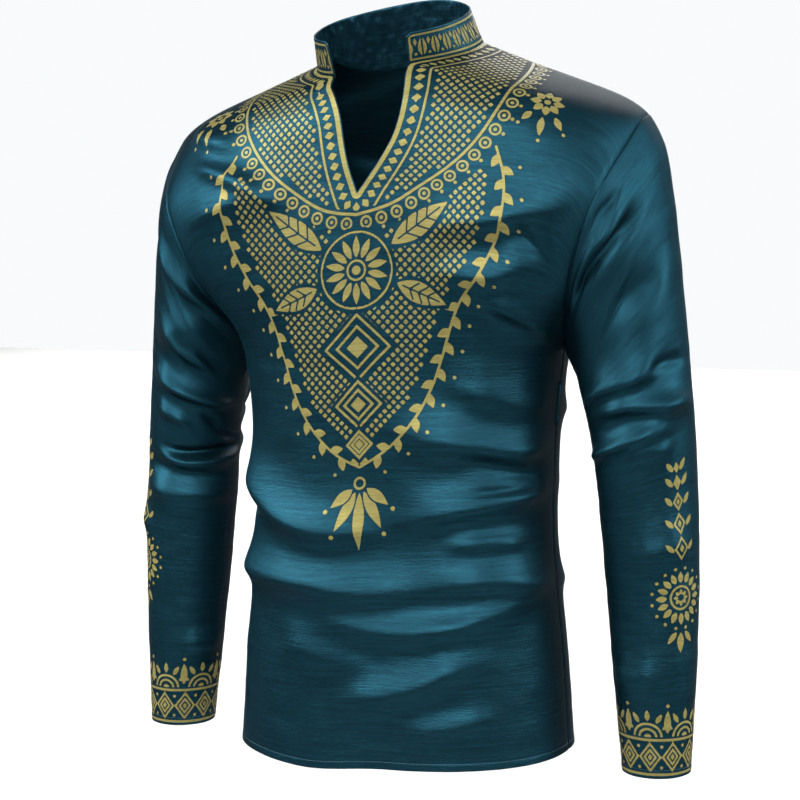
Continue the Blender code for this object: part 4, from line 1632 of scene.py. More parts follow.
@dataclass
class Print:
    """A drawing laid on the cloth: printed cells become thin faces just above it."""

    points: Array
    normals: Array
    flat: Array
    faces: list[Array]

    @classmethod
    def lay(cls, drawing: Drawing, points: Array, normals: Array, lift: float = 0.22) -> "Print":
        """Cut the grid's cells at the print's edge.

        On a cell side whose ends lie on both sides of the edge, the edge is where the distance,
        taken as straight between the ends, is 0.

        Args:
            drawing: the drawing.
            points: its grid's places on the cloth in mm.
            normals: the cloth's normals there.
            lift: how far the print stands above the cloth.

        Returns:
            The print.
        """
        field = drawing.field
        total = field.size
        grown = []
        for grid in (points + lift * normals, normals, np.stack([drawing.x, drawing.y], -1)):
            sides = [grid, cls.crossings(field, grid)]
            sides.append(cls.crossings(field.T, grid.transpose(1, 0, 2)).transpose(1, 0, 2))
            grown.append(np.concatenate([side.reshape(total, -1) for side in sides]))
        a, b, c, d = grid_faces(numbered(field.shape)).T
        marks = np.stack([a, b, c, d, a + total, b + 2 * total, d + total, a + 2 * total], -1)
        printed = field.reshape(-1) < 0.0
        case = sum(printed[marks[:, k]] * (1 << k) for k in range(4))
        across = points[:-1, 1:] - points[:-1, :-1]
        upward = points[1:, :-1] - points[:-1, :-1]
        facing = np.sum(np.cross(across, upward) * normals[:-1, :-1])
        turn = slice(None) if facing > 0 else slice(None, None, -1)
        faces = [
            marks[case == number][:, face[turn]]
            for number, parts in CELL_FACES.items()
            for face in parts
        ]
        return cls(grown[0], unit(grown[1] + 1e-12), grown[2], faces)

    @staticmethod
    def crossings(field: Array, grid: Array) -> Array:
        """Read a grid where the field crosses 0 between each place and the next one across.

        Args:
            field: distances, rows by columns.
            grid: the values to read, rows by columns by their size.

        Returns:
            The values at the crossings, in the grid's own shape, with 0 in the last column.
        """
        fall = field[:, :-1] - field[:, 1:]
        share = np.clip(field[:, :-1] / np.where(fall == 0, 1.0, fall), 0.0, 1.0)
        full = np.zeros(grid.shape)
        full[:, :-1] = grid[:, :-1] + (grid[:, 1:] - grid[:, :-1]) * share[..., None]
        return full

    @staticmethod
    def build(
        name: str, prints: Sequence["Print"], material: bpy.types.Material
    ) -> bpy.types.Object:
        """One object from several prints, without the vertices that no face uses.

        Args:
            name: the piece's name.
            prints: the prints it joins.
            material: its finish.

        Returns:
            The object.
        """
        starts = np.cumsum([0] + [len(part.points) for part in prints])
        faces = [face + start for part, start in zip(prints, starts) for face in part.faces]
        used = np.unique(np.concatenate([face.ravel() for face in faces]))
        order = renumbered(used, starts[-1])
        points, normals, flat = [
            np.concatenate([getattr(part, key) for part in prints])[used]
            for key in ("points", "normals", "flat")
        ]
        polygons = [corners for face in faces for corners in order[face].tolist()]
        return make_object(name, points, polygons, material, flat, normals)


def lay_on_front(patch: Patch, drawing: Drawing) -> tuple[Array, Array]:
    """Find the cloth under a drawing on one half of the front.

    Every row of the cloth is read at the drawing's places across, and then every column of that
    at the drawing's heights.

    Args:
        patch: the half of the front.
        drawing: its drawing.

    Returns:
        Points and normals under the drawing's grid.
    """
    across, up = drawing.x[0], drawing.y[:, 0]
    numbers = np.arange(patch.chart.shape[1])
    column = np.stack([np.interp(across, row, numbers) for row in np.abs(patch.chart[..., 0])])
    rows = np.arange(len(column))
    every = np.broadcast_to(rows[:, None], column.shape)
    height, points, normals = [
        bilinear(grid, every, column) for grid in (patch.chart[..., 1], patch.points, patch.normals)
    ]
    row = np.stack([np.interp(up, line, rows) for line in height.T], -1)
    place = np.broadcast_to(np.arange(len(across))[None, :], row.shape)
    return bilinear(points, row, place), bilinear(normals, row, place)


def lay_on_sleeve(patch: Patch, drawing: Drawing, centre: float, girth: float) -> tuple[Array, Array]:
    """Find the cloth under a drawing on a sleeve.

    Args:
        patch: the sleeve.
        drawing: its drawing.
        centre: degrees round the sleeve where the drawing's across is 0.
        girth: the girth that across is measured on, or 0 for the sleeve's own.

    Returns:
        Points and normals under the drawing's grid.
    """
    up = patch.chart[:, 0, 1]
    rows, columns = patch.points.shape[:2]
    row = np.interp(-drawing.y, -up, np.arange(rows))
    own = np.interp(row, np.arange(rows), patch.chart[:, 1, 0] * columns)
    turn = centre / 360.0 + drawing.x / (girth or own)
    column = (turn * columns) % columns
    closed = [np.concatenate([grid, grid[:, :2]], axis=1) for grid in (patch.points, patch.normals)]
    return bilinear(closed[0], row, column), bilinear(closed[1], row, column)


def lay_on_collar(patch: Patch, drawing: Drawing) -> tuple[Array, Array]:
    """Find the cloth under the collar's drawing: across along the base, up by share of height.

    Args:
        patch: the piece's patch.
        drawing: the drawing.

    Returns:
        Points and normals under the drawing's grid.
    """
    share = patch.chart[:, 0, 1] / patch.chart[-1, 0, 1]
    row = np.interp(drawing.y / drawing.y[-1, 0], share, np.arange(len(share)))
    column = np.interp(drawing.x, patch.chart[0, :, 0], np.arange(patch.chart.shape[1]))
    return bilinear(patch.points, row, column), bilinear(patch.normals, row, column)


@dataclass
class Stitches:
    """A row of lockstitches: short round-ended threads lying in a shallow groove.

    A stitch is a capsule of four rings of six points between two tips. Its rings' places are
    shares of its length and their widths are shares of its radius.
    """

    pitch: float = 3.1
    length: float = 2.4
    radius: float = 0.22
    sunk: float = 0.05
    corners: int = 6
    places: Sequence[float] = (-0.46, -0.3, 0.3, 0.46)
    widths: Sequence[float] = (0.6, 1.0, 1.0, 0.6)

    def capsule(self) -> tuple[Array, Array, Array]:
        """Points of one stitch along x, its quads and the triangles at its tips.

        Returns:
            The points, the quads and the triangles.
        """
        turns = np.arange(self.corners) * 2.0 * np.pi / self.corners
        along_x = np.repeat(self.places, self.corners) * self.length
        width = np.repeat(self.widths, self.corners) * self.radius
        turn = np.tile(turns, len(self.places))
        body = np.stack([along_x, width * np.cos(turn), width * np.sin(turn)], -1)
        tips = np.array([[-0.5 * self.length, 0.0, 0.0], [0.5 * self.length, 0.0, 0.0]])
        first = np.arange(self.corners)
        following = np.roll(first, -1)
        last = len(body) - self.corners
        near_tip = np.stack([0 * first + len(body), following, first], -1)
        far_tip = np.stack([0 * first + len(body) + 1, last + first, last + following], -1)
        quads = ring_faces((len(self.places), self.corners))
        return np.concatenate([body, tips]), quads, np.concatenate([near_tip, far_tip])

    def build(
        self, name: str, line: Array, normals: Array, material: bpy.types.Material
    ) -> bpy.types.Object:
        """Set the same small capsule along a line.

        Args:
            name: the piece's name.
            line: points along the line of stitches.
            normals: the cloth's normals there.
            material: the thread's finish.

        Returns:
            The object.
        """
        body, quads, triangles = self.capsule()
        run = run_along(line)
        at = np.arange(0.5 * self.pitch, run[-1], self.pitch)
        place = read_line(at, run, line)
        out = unit(read_line(at, run, normals))
        forward = unit(read_line(at + 0.5, run, line) - place)
        frames = np.stack([forward, np.cross(out, forward), out], 1)
        points = (place - self.sunk * out)[:, None] + body @ frames
        shifts = len(body) * np.arange(len(at))[:, None, None]
        polygons = (shifts + quads).reshape(-1, 4).tolist()
        polygons += (shifts + triangles).reshape(-1, 3).tolist()
        return make_object(name, points.reshape(-1, 3), polygons, material)


@dataclass
class Ornament:
    """The printed ornament: nets, lozenges, leaves, petals and dots.

    The front's heights are measured from a level 730 mm above the hem.
    """

    step: float = 1.15
    line: float = 2.5
    net_pitch: float = 6.6
    net_gap: float = 2.6
    level: float = 730.0
    reach: float = 212.0
    lowest: float = -525.0
    highest: float = 112.0
    edge_pitch: float = 10.5
    edge_row: float = 14.5
    edge_line: float = 24.0
    rosette_ring: float = 38.5
    rosette_petals: Place = (12.5, 34.0)
    fan_height: float = -440.0
    cuff_height: float = 74.0
    cuff_lozenges: float = 20.5
    cuff_arches: float = 39.5
    sun_height: float = 176.0
    sun_dots: int = 16
    sun_reach: float = 31.0
    stem_start: float = 216.0
    collar_height: float = 36.0
    collar_pitch: float = 15.0
    collar_step: float = 0.8

    def draw_front(self, edge: Path) -> Drawing:
        """Half of the front, from its middle line to one side.

        Args:
            edge: the opening's edge from the V's tip up, across and above the hem.

        Returns:
            The drawing, across and above the hem.
        """
        drawing = Drawing((0.0, self.lowest), (self.reach, self.highest), self.step)
        opening = [(x, y - self.level) for x, y in edge]
        away, travelled, _ = path_distance(opening, drawing.x, drawing.y)
        outline = opening + [(-30.0, 150.0), (-30.0, opening[0][1])]
        away = np.where(inside(drawing.x, drawing.y, outline), -away, away)
        contour = smooth_path(YOKE_EDGE, 6.0)
        vine = smooth_path(VINE, 6.0)
        self.fill_nets(drawing, opening, contour, vine)
        self.draw_edge(drawing, opening, away, travelled)
        self.draw_yoke_edge(drawing, contour)
        self.draw_vine(drawing, vine)
        self.draw_middle(drawing)
        self.draw_shoulder(drawing)
        drawing.field = np.maximum(drawing.field, 0.8 - away)
        drawing.y = drawing.y + self.level
        return drawing

    def fill_nets(self, drawing: Drawing, opening: Path, contour: Path, vine: Path) -> None:
        """Nets in the yoke and in the panel below it, of whole squares.

        A square is kept where its centre lies far enough from the lines round the net.

        Args:
            drawing: the drawing.
            opening: the opening's edge from the V's tip up.
            contour: the yoke's edge.
            vine: the vine's stem.
        """
        squares = net(drawing.x, drawing.y, self.net_pitch, self.net_gap)
        x, y = net_centres(drawing.x, drawing.y, self.net_pitch)
        top = [(-9.0, contour[-1][1]), (-9.0, 200.0), (contour[0][0], 200.0)]
        yoke = inside(x, y, list(contour) + top)
        from_yoke_edge = path_distance(contour, x, y)[0]
        kept = yoke & (from_yoke_edge > 5.6) & (path_distance(opening, x, y)[0] > 29.4)
        low = inside(x, y, list(vine) + [(-9.0, vine[-1][1]), (-9.0, vine[0][1])])
        kept |= low & ~yoke & (from_yoke_edge > 24.0) & (path_distance(vine, x, y)[0] > 16.0)
        drawing.field = np.where(kept, np.minimum(drawing.field, squares), drawing.field)

    def draw_edge(self, drawing: Drawing, opening: Path, away: Array, travelled: Array) -> None:
        """The opening's border: a band, a row of lozenges and a line.

        Below the V's tip the row runs on round it, by angle times the row's distance.

        Args:
            drawing: the drawing.
            opening: the opening's edge from the V's tip up.
            away: distance from the edge.
            travelled: distance along the edge.
        """
        band = np.abs(away - 3.2) - 2.8
        start = np.subtract(opening[1], opening[0])
        turn = np.arctan2(drawing.x - opening[0][0], opening[0][1] - drawing.y)
        corner = 0.5 * np.pi - np.arctan2(start[0], start[1])
        round_tip = self.edge_row * (turn - corner)
        travelled = np.where(travelled <= 0.0, round_tip, travelled) + corner * self.edge_row
        place = folded(travelled, self.edge_pitch)
        row = lozenge(place, away, (0.0, self.edge_row), 4.2, 5.4)
        line = np.abs(away - self.edge_line) - 0.5 * self.line
        border = np.minimum(np.minimum(band, row), line)
        cleared = np.maximum(drawing.field, self.edge_line + 2.8 - away)
        drawing.field = np.minimum(cleared, border)

    def draw_yoke_edge(self, drawing: Drawing, contour: Path) -> None:
        """A line round the yoke, with a row of rings and a row of dots outside it."""
        drawing.line(contour, 3.0, margin=2.2)
        for place, run in along(contour, 15.5, 9.0):
            out = np.array([-run[1], run[0]])
            drawing.dot(place + 9.4 * out, 6.4, line=2.3, margin=1.6)
            drawing.dot(place + 9.4 * out, 2.0)
            drawing.dot(place + 18.6 * out, 1.9)

    def draw_vine(self, drawing: Drawing, vine: Path) -> None:
        """A stem with leaves on both sides, and a dot beyond each outer leaf.

        Args:
            drawing: the drawing.
            vine: the vine's stem.
        """
        drawing.clear(drawing.around(vine, 6.0), stroke, vine, 9.4)
        for count, (place, run) in enumerate(along(vine, 13.5, 10.0)):
            side = 1.0 if count % 2 else -1.0
            out = side * np.array([-run[1], run[0]])
            way = 0.72 * out + 0.69 * run
            drawing.leaf(place - 1.5 * way, place + 14.0 * way, 4.3, margin=1.8)
            if side > 0:
                drawing.dot(place + 17.5 * out + 3.0 * run, 1.9)
        drawing.line(vine, self.line)

    def draw_middle(self, drawing: Drawing) -> None:
        """The middle: a rosette with leaves, a column of lozenges and a hanging fan.

        Args:
            drawing: the drawing.
        """
        centre = (0.0, ROSETTE_HEIGHT)
        whole = ((0.0, -300.0), (60.0, -170.0))
        drawing.near(disc, centre, self.rosette_ring, line=self.line, margin=4.0, box=whole)
        part = drawing.part(*whole)
        cut = disc(drawing.x[part], drawing.y[part], centre, self.rosette_ring - self.line)
        drawing.field[part] = np.where(cut < 0, np.maximum(drawing.bare, -cut), drawing.field[part])
        drawing.near(petals, centre, 14, self.rosette_petals, 3.7, box=whole)
        drawing.near(disc, centre, 10.5, line=2.2, box=whole)
        drawing.near(disc, centre, 4.6, box=whole)
        for base, tip, wide in BIG_LEAVES:
            drawing.leaf(base, tip, wide, margin=3.4)
            self.draw_ribs(drawing, base, tip)
        for height, wide, tall in LOZENGES:
            self.draw_lozenge(drawing, height, wide, tall)
        fan = np.array([0.0, self.fan_height])
        drawing.dot(fan, 6.6, line=2.4)
        for turn, length in FAN_LEAVES:
            way = np.array([np.sin(np.radians(turn)), -np.cos(np.radians(turn))])
            base = fan + 9.5 * way
            drawing.leaf(base, base + (length - 10.0) * way, 5.6, margin=1.6)
            if turn:
                drawing.dot(base + (length - 4.0) * way, 2.4)

    def draw_ribs(self, drawing: Drawing, base: Place, tip: Place) -> None:
        """A bare rib down the middle of a big leaf and bare veins beside it.

        Args:
            drawing: the drawing.
            base: where the leaf starts.
            tip: where the leaf ends.
        """
        start, run = np.asarray(base), np.subtract(tip, base)
        aside = np.array([-run[1], run[0]])
        veins = [[start + 0.12 * run, start + 0.86 * run]]
        for share in (0.26, 0.44, 0.62):
            for side in (-0.16, 0.16):
                veins.append([start + share * run, start + (share + 0.13) * run + side * aside])
        for vein in veins:
            drawing.clear(drawing.around([base, tip], 16.0), stroke, vein, 1.7)

    def draw_lozenge(self, drawing: Drawing, height: float, wide: float, tall: float) -> None:
        """One lozenge of the column: two outlines round a filled one.

        Args:
            drawing: the drawing.
            height: its centre's height.
            wide: half its width.
            tall: half its height.
        """
        centre = (0.0, height)
        box = ((0.0, height - tall - 8.0), (wide + 8.0, height + tall + 8.0))
        drawing.near(lozenge, centre, wide, tall, line=2.6, margin=3.4, box=box)
        drawing.near(lozenge, centre, 0.66 * wide, 0.66 * tall, line=2.6, box=box)
        drawing.near(lozenge, centre, 0.32 * wide, 0.32 * tall, box=box)

    def draw_shoulder(self, drawing: Drawing) -> None:
        """A small flower beyond the yoke, with a spray of leaves and dots.

        Args:
            drawing: the drawing.
        """
        centre = np.array(SHOULDER_FLOWER)
        box = drawing.around([centre], 24.0)
        drawing.near(petals, centre, 8, (5.5, 17.5), 3.9, margin=1.8, box=box)
        drawing.dot(centre, 3.3)
        for turn, length in SPRAY_LEAVES:
            way = np.array([np.sin(np.radians(turn)), np.cos(np.radians(turn))])
            drawing.leaf(centre + 20.0 * way, centre + length * way, 3.6)
            drawing.dot(centre + (length + 4.5) * way, 1.9)

    def draw_cuff(self, girth: float, columns: int) -> Drawing:
        """The cuff's band all round, across as arc on the cuff's girth and up from its edge.

        Args:
            girth: the cuff's girth in mm.
            columns: how many columns it has.

        Returns:
            The drawing.
        """
        drawing = Drawing((0.0, 0.0), (girth, self.cuff_height), self.step, columns)
        x, y = drawing.x, drawing.y
        for height in (4.0, 37.0):
            drawing.add(np.abs(y - height) - 0.5 * self.line)
        step = girth / 10.0
        place = folded(x, step)
        middle = (0.0, self.cuff_lozenges)
        for share in (1.0, 0.6):
            shape = lozenge(place, y, middle, share * 0.5 * step, share * 14.5)
            drawing.add(np.abs(shape + 1.0) - 1.0)
        drawing.add(lozenge(place, y, middle, 2.2, 3.4))
        for height in (10.5, 30.5):
            drawing.add(disc(folded(x - 0.5 * step, step), y, (0.0, height), 1.7))
        wide = girth / 6.0
        place = folded(x - 0.25 * wide, wide)
        centre = (0.0, self.cuff_arches)
        above = np.where(y > centre[1], 0.0, drawing.bare)
        for radius in (13.0, 8.0):
            drawing.add(np.abs(disc(place, y, centre, radius)) - 1.15 + above)
        drawing.add(disc(place, y, centre, 3.6) + above)
        rays = petals(place, y, centre, 12, (15.5, 27.0), 2.3)
        drawing.add(rays + np.where(y > 45.0, 0.0, drawing.bare))
        gap = folded(x + 0.25 * wide, wide)
        drawing.add(leaf(gap, y, (0.0, 43.0), (0.0, 66.0), 3.4))
        drawing.add(disc(gap, y, (0.0, 70.0), 1.8))
        return drawing

    def draw_forearm(self) -> Drawing:
        """The outer forearm: a sun of petals on a stem of lozenges, and a drop below it.

        Returns:
            The drawing.
        """
        drawing = Drawing((-40.0, 118.0), (40.0, 322.0), self.step)
        centre = (0.0, self.sun_height)
        drawing.near(petals, centre, self.sun_dots, (15.5, 27.5), 3.2)
        drawing.near(disc, centre, 12.8, line=2.4)
        drawing.near(petals, centre, 8, (3.0, 9.0), 1.9)
        for number in range(self.sun_dots):
            turn = (number + 0.5) * 2.0 * np.pi / self.sun_dots
            way = np.array([np.sin(turn), np.cos(turn)])
            drawing.dot(centre + self.sun_reach * way, 1.8)
        height = self.stem_start
        for wide, tall in FOREARM_LOZENGES:
            middle = (0.0, height + tall)
            box = drawing.around([middle], tall + 3.0)
            drawing.near(lozenge, middle, wide, tall, line=2.2, box=box)
            drawing.near(lozenge, middle, 0.35 * wide, 0.35 * tall, box=box)
            for side in (-1.0, 1.0):
                tip = (side * (wide + 9.0), height + tall + 7.0)
                drawing.leaf((side * (wide + 0.5), height + tall - 3.0), tip, 2.6)
            height += 2.0 * tall + 1.5
        drawing.leaf((0.0, 141.0), (0.0, 121.0), 4.2)
        for side in (-1.0, 1.0):
            drawing.leaf((side * 5.0, 142.0), (side * 15.0, 130.0), 2.9)
        return drawing

    def draw_collar(self, length: float, columns: int) -> Drawing:
        """The collar's band, across as arc along its base and up to 36 at its top edge.

        Args:
            length: the collar's length along its base.
            columns: how many columns it has.

        Returns:
            The drawing.
        """
        drawing = Drawing((0.0, 0.0), (length, self.collar_height), self.collar_step, columns)
        x, y = drawing.x, drawing.y
        step = length / round(length / self.collar_pitch)
        place = folded(x, step)
        parts = [
            np.abs(y - 3.6) - 1.1,
            np.abs(y - self.collar_height + 3.6) - 1.1,
            np.maximum(leaf(place, y, (0.0, 5.6), (0.0, 30.6), 4.9), 1.0 - np.abs(place)),
            disc(np.abs(place) - 0.5 * step, y, (0.0, 9.4), 1.7),
            lozenge(np.abs(place) - 0.5 * step, y, (0.0, 24.0), 2.2, 5.0),
        ]
        ends = np.minimum(x, length - x)
        field = np.maximum(np.minimum.reduce(parts), 3.4 - ends)
        drawing.field = np.minimum(field, np.abs(ends - 2.2) - 1.0)
        drawing.field = np.maximum(drawing.field, np.abs(y - 0.5 * self.collar_height) - 15.5)
        return drawing


def linear(code: str) -> tuple[float, float, float, float]:
    """Linear colour of an sRGB hex code.

    Args:
        code: a hash sign and six digits.

    Returns:
        Red, green and blue, and 1 for opaque.
    """
    value = np.array([int(code[i : i + 2], 16) for i in (1, 3, 5)]) / 255.0
    value = np.where(value <= 0.04045, value / 12.92, ((value + 0.055) / 1.055) ** 2.4)
    return (*(float(v) for v in value), 1.0)


def new_material(name: str) -> tuple[bpy.types.Material, bpy.types.Node]:
    """A material with nodes, and its Principled BSDF.

    Args:
        name: the material's name.

    Returns:
        The material and its shader.
    """
    material = bpy.data.materials.new(name)
    material.use_nodes = True
    return material, material.node_tree.nodes["Principled BSDF"]


def set_sockets(node: bpy.types.Node, values: dict) -> None:
    """Set input sockets by name: hex codes become linear colours, and sockets become links."""
    for key, value in values.items():
        if isinstance(value, bpy.types.NodeSocket):
            node.id_data.links.new(value, node.inputs[key])
        else:
            node.inputs[key].default_value = linear(value) if isinstance(value, str) else value


def add_node(
    tree: bpy.types.NodeTree,
    kind: str,
    settings: dict | None = None,
    links: dict | None = None,
) -> bpy.types.Node:
    """Add a shader node.

    Args:
        tree: the node tree.
        kind: the node's type.
        settings: values for its properties (by name) or sockets (by name or number).
        links: sockets to feed, each from another node's output.

    Returns:
        The node.
    """
    node = tree.nodes.new(kind)
    for key, value in (settings or {}).items():
        if isinstance(key, str) and hasattr(node, key):
            setattr(node, key, value)
        else:
            node.inputs[key].default_value = value
    for key, output in (links or {}).items():
        tree.links.new(output, node.inputs[key])
    return node


@dataclass(frozen=True)
class SlubSatin:
    """Polyester slub satin, piece-dyed, woven with uneven weft and calendered to a shine.

    The weft's thick and thin places give the eye fine level streaks of light and dark. The long
    dyed floats reflect in the cloth's own colour, as a metal does, and spread each highlight
    across the weft. Slubs 9 by 0.85 mm are coarser than the real ones, so that they show.
    """

    name: str
    body: str
    bright: str
    dark: str
    metallic: float = 0.84
    roughness: float = 0.44
    slub_length: float = 9.0
    slub_height: float = 0.85
    relief: float = 0.00034
    edge_shine: str = "#0b2c38"
    fine_share: float = 0.55
    broad_cell: Place = (70.0, 3.4)
    cloud_cell: Place = (90.0, 60.0)
    specular: float = 0.2
    sheen: float = 0.02
    anisotropy: float = 0.45

    def build(self) -> bpy.types.Material:
        """Make the material: streaks of noise stretched along the weft, over the UV in metres.

        Returns:
            The material.
        """
        material, shader = new_material(self.name)
        tree = material.node_tree
        places = add_node(tree, "ShaderNodeUVMap", {"uv_map": "cloth"}).outputs[0]
        fine = self.streaks(tree, places, (self.slub_length, self.slub_height), 3.0)
        broad = self.streaks(tree, places, self.broad_cell, 2.0)
        cloudy = self.streaks(tree, places, self.cloud_cell, 2.0)
        rest = {"operation": "MULTIPLY", 1: 1.0 - self.fine_share}
        wide = add_node(tree, "ShaderNodeMath", rest, {0: broad}).outputs[0]
        share = {"operation": "MULTIPLY_ADD", 1: self.fine_share}
        mixed = add_node(tree, "ShaderNodeMath", share, {0: fine, 2: wide}).outputs[0]
        ramp = add_node(tree, "ShaderNodeValToRGB", {}, {"Fac": mixed})
        stops = ramp.color_ramp.elements
        stops[0].position, stops[0].color = 0.3, linear(self.dark)
        stops[1].position, stops[1].color = 0.72, linear(self.bright)
        stops.new(0.5).color = linear(self.body)
        span = {"To Min": self.roughness - 0.06, "To Max": self.roughness + 0.08}
        rough = add_node(tree, "ShaderNodeMapRange", span, {"Value": cloudy})
        depth = {"Strength": 1.0, "Distance": self.relief}
        bump = add_node(tree, "ShaderNodeBump", depth, {"Height": mixed})
        along_weft = {"direction_type": "UV_MAP", "uv_map": "cloth"}
        set_sockets(
            shader,
            {
                "Base Color": ramp.outputs[0],
                "Roughness": rough.outputs[0],
                "Normal": bump.outputs[0],
                "Tangent": add_node(tree, "ShaderNodeTangent", along_weft).outputs[0],
                "Metallic": self.metallic,
                "Specular IOR Level": self.specular,
                "Specular Tint": self.edge_shine,
                "Sheen Weight": self.sheen,
                "Sheen Roughness": 0.4,
                "Sheen Tint": self.bright,
                "Anisotropic": self.anisotropy,
            },
        )
        return material

    @staticmethod
    def streaks(
        tree: bpy.types.NodeTree,
        places: bpy.types.NodeSocket,
        cell: tuple[float, float],
        detail: float,
    ) -> bpy.types.NodeSocket:
        """Noise stretched along the weft.

        Args:
            tree: the material's nodes.
            places: flat places in metres.
            cell: the noise cells' size in mm along and across the weft.
            detail: how many finer layers it has.

        Returns:
            The noise's value.
        """
        scale = {"Scale": (1.0 / (cell[0] * MM), 1.0 / (cell[1] * MM), 1.0)}
        scaled = add_node(tree, "ShaderNodeMapping", scale, {"Vector": places})
        looks = {"noise_dimensions": "2D", "Scale": 1.0, "Detail": detail, "Roughness": 0.6}
        links = {"Vector": scaled.outputs[0]}
        return add_node(tree, "ShaderNodeTexNoise", looks, links).outputs[0]


@dataclass(frozen=True)
class GoldFoil:
    """Gold foil pressed on the satin: a thin film that keeps the weave's fine ribs.

    It gives the eye a soft, half dull shine, paler and warmer than the cloth round it.
    """

    name: str = "gold foil print"
    body: str = "#625c36"
    bright: str = "#6f683e"
    dark: str = "#534d2c"
    metallic: float = 0.4
    roughness: float = 0.5
    relief: float = 0.00009

    def build(self) -> bpy.types.Material:
        """Make the material, with the cloth's weft streaks showing through.

        Returns:
            The material.
        """
        colours = (self.body, self.bright, self.dark)
        finish = (self.metallic, self.roughness)
        return SlubSatin(self.name, *colours, *finish, relief=self.relief).build()


@dataclass(frozen=True)
class Thread:
    """Spun polyester sewing thread in the cloth's colour, twisted from plies.

    Its loose fibres make it duller than the satin, so stitches read as a row of matt dots.
    """

    name: str = "teal sewing thread"
    colour: str = "#10313d"
    roughness: float = 0.6

    def build(self) -> bpy.types.Material:
        """Make the material, with the ply's twist as a fine bump on Object coordinates.

        Returns:
            The material.
        """
        material, shader = new_material(self.name)
        tree = material.node_tree
        places = add_node(tree, "ShaderNodeTexCoord").outputs["Object"]
        twist = add_node(tree, "ShaderNodeTexNoise", {"Scale": 1.0 / (0.4 * MM)}, {"Vector": places})
        depth = {"Strength": 0.5, "Distance": 0.1 * MM}
        bump = add_node(tree, "ShaderNodeBump", depth, {"Height": twist.outputs[0]})
        looks = {"Base Color": self.colour, "Roughness": self.roughness, "Normal": bump.outputs[0]}
        set_sockets(shader, looks)
        return material


# Name, place as azimuth, elevation and distance, width and height in metres, and watts.
SOFT_BOXES = (
    ("key soft box", (16.0, 26.0, 2.6), (3.2, 2.4), 50.0),
    ("left soft box", (98.0, 20.0, 2.3), (2.2, 2.0), 27.0),
    ("right soft box", (-60.0, 28.0, 2.3), (1.8, 2.0), 32.0),
    ("back soft box", (180.0, 30.0, 2.4), (2.4, 1.8), 30.0),
)


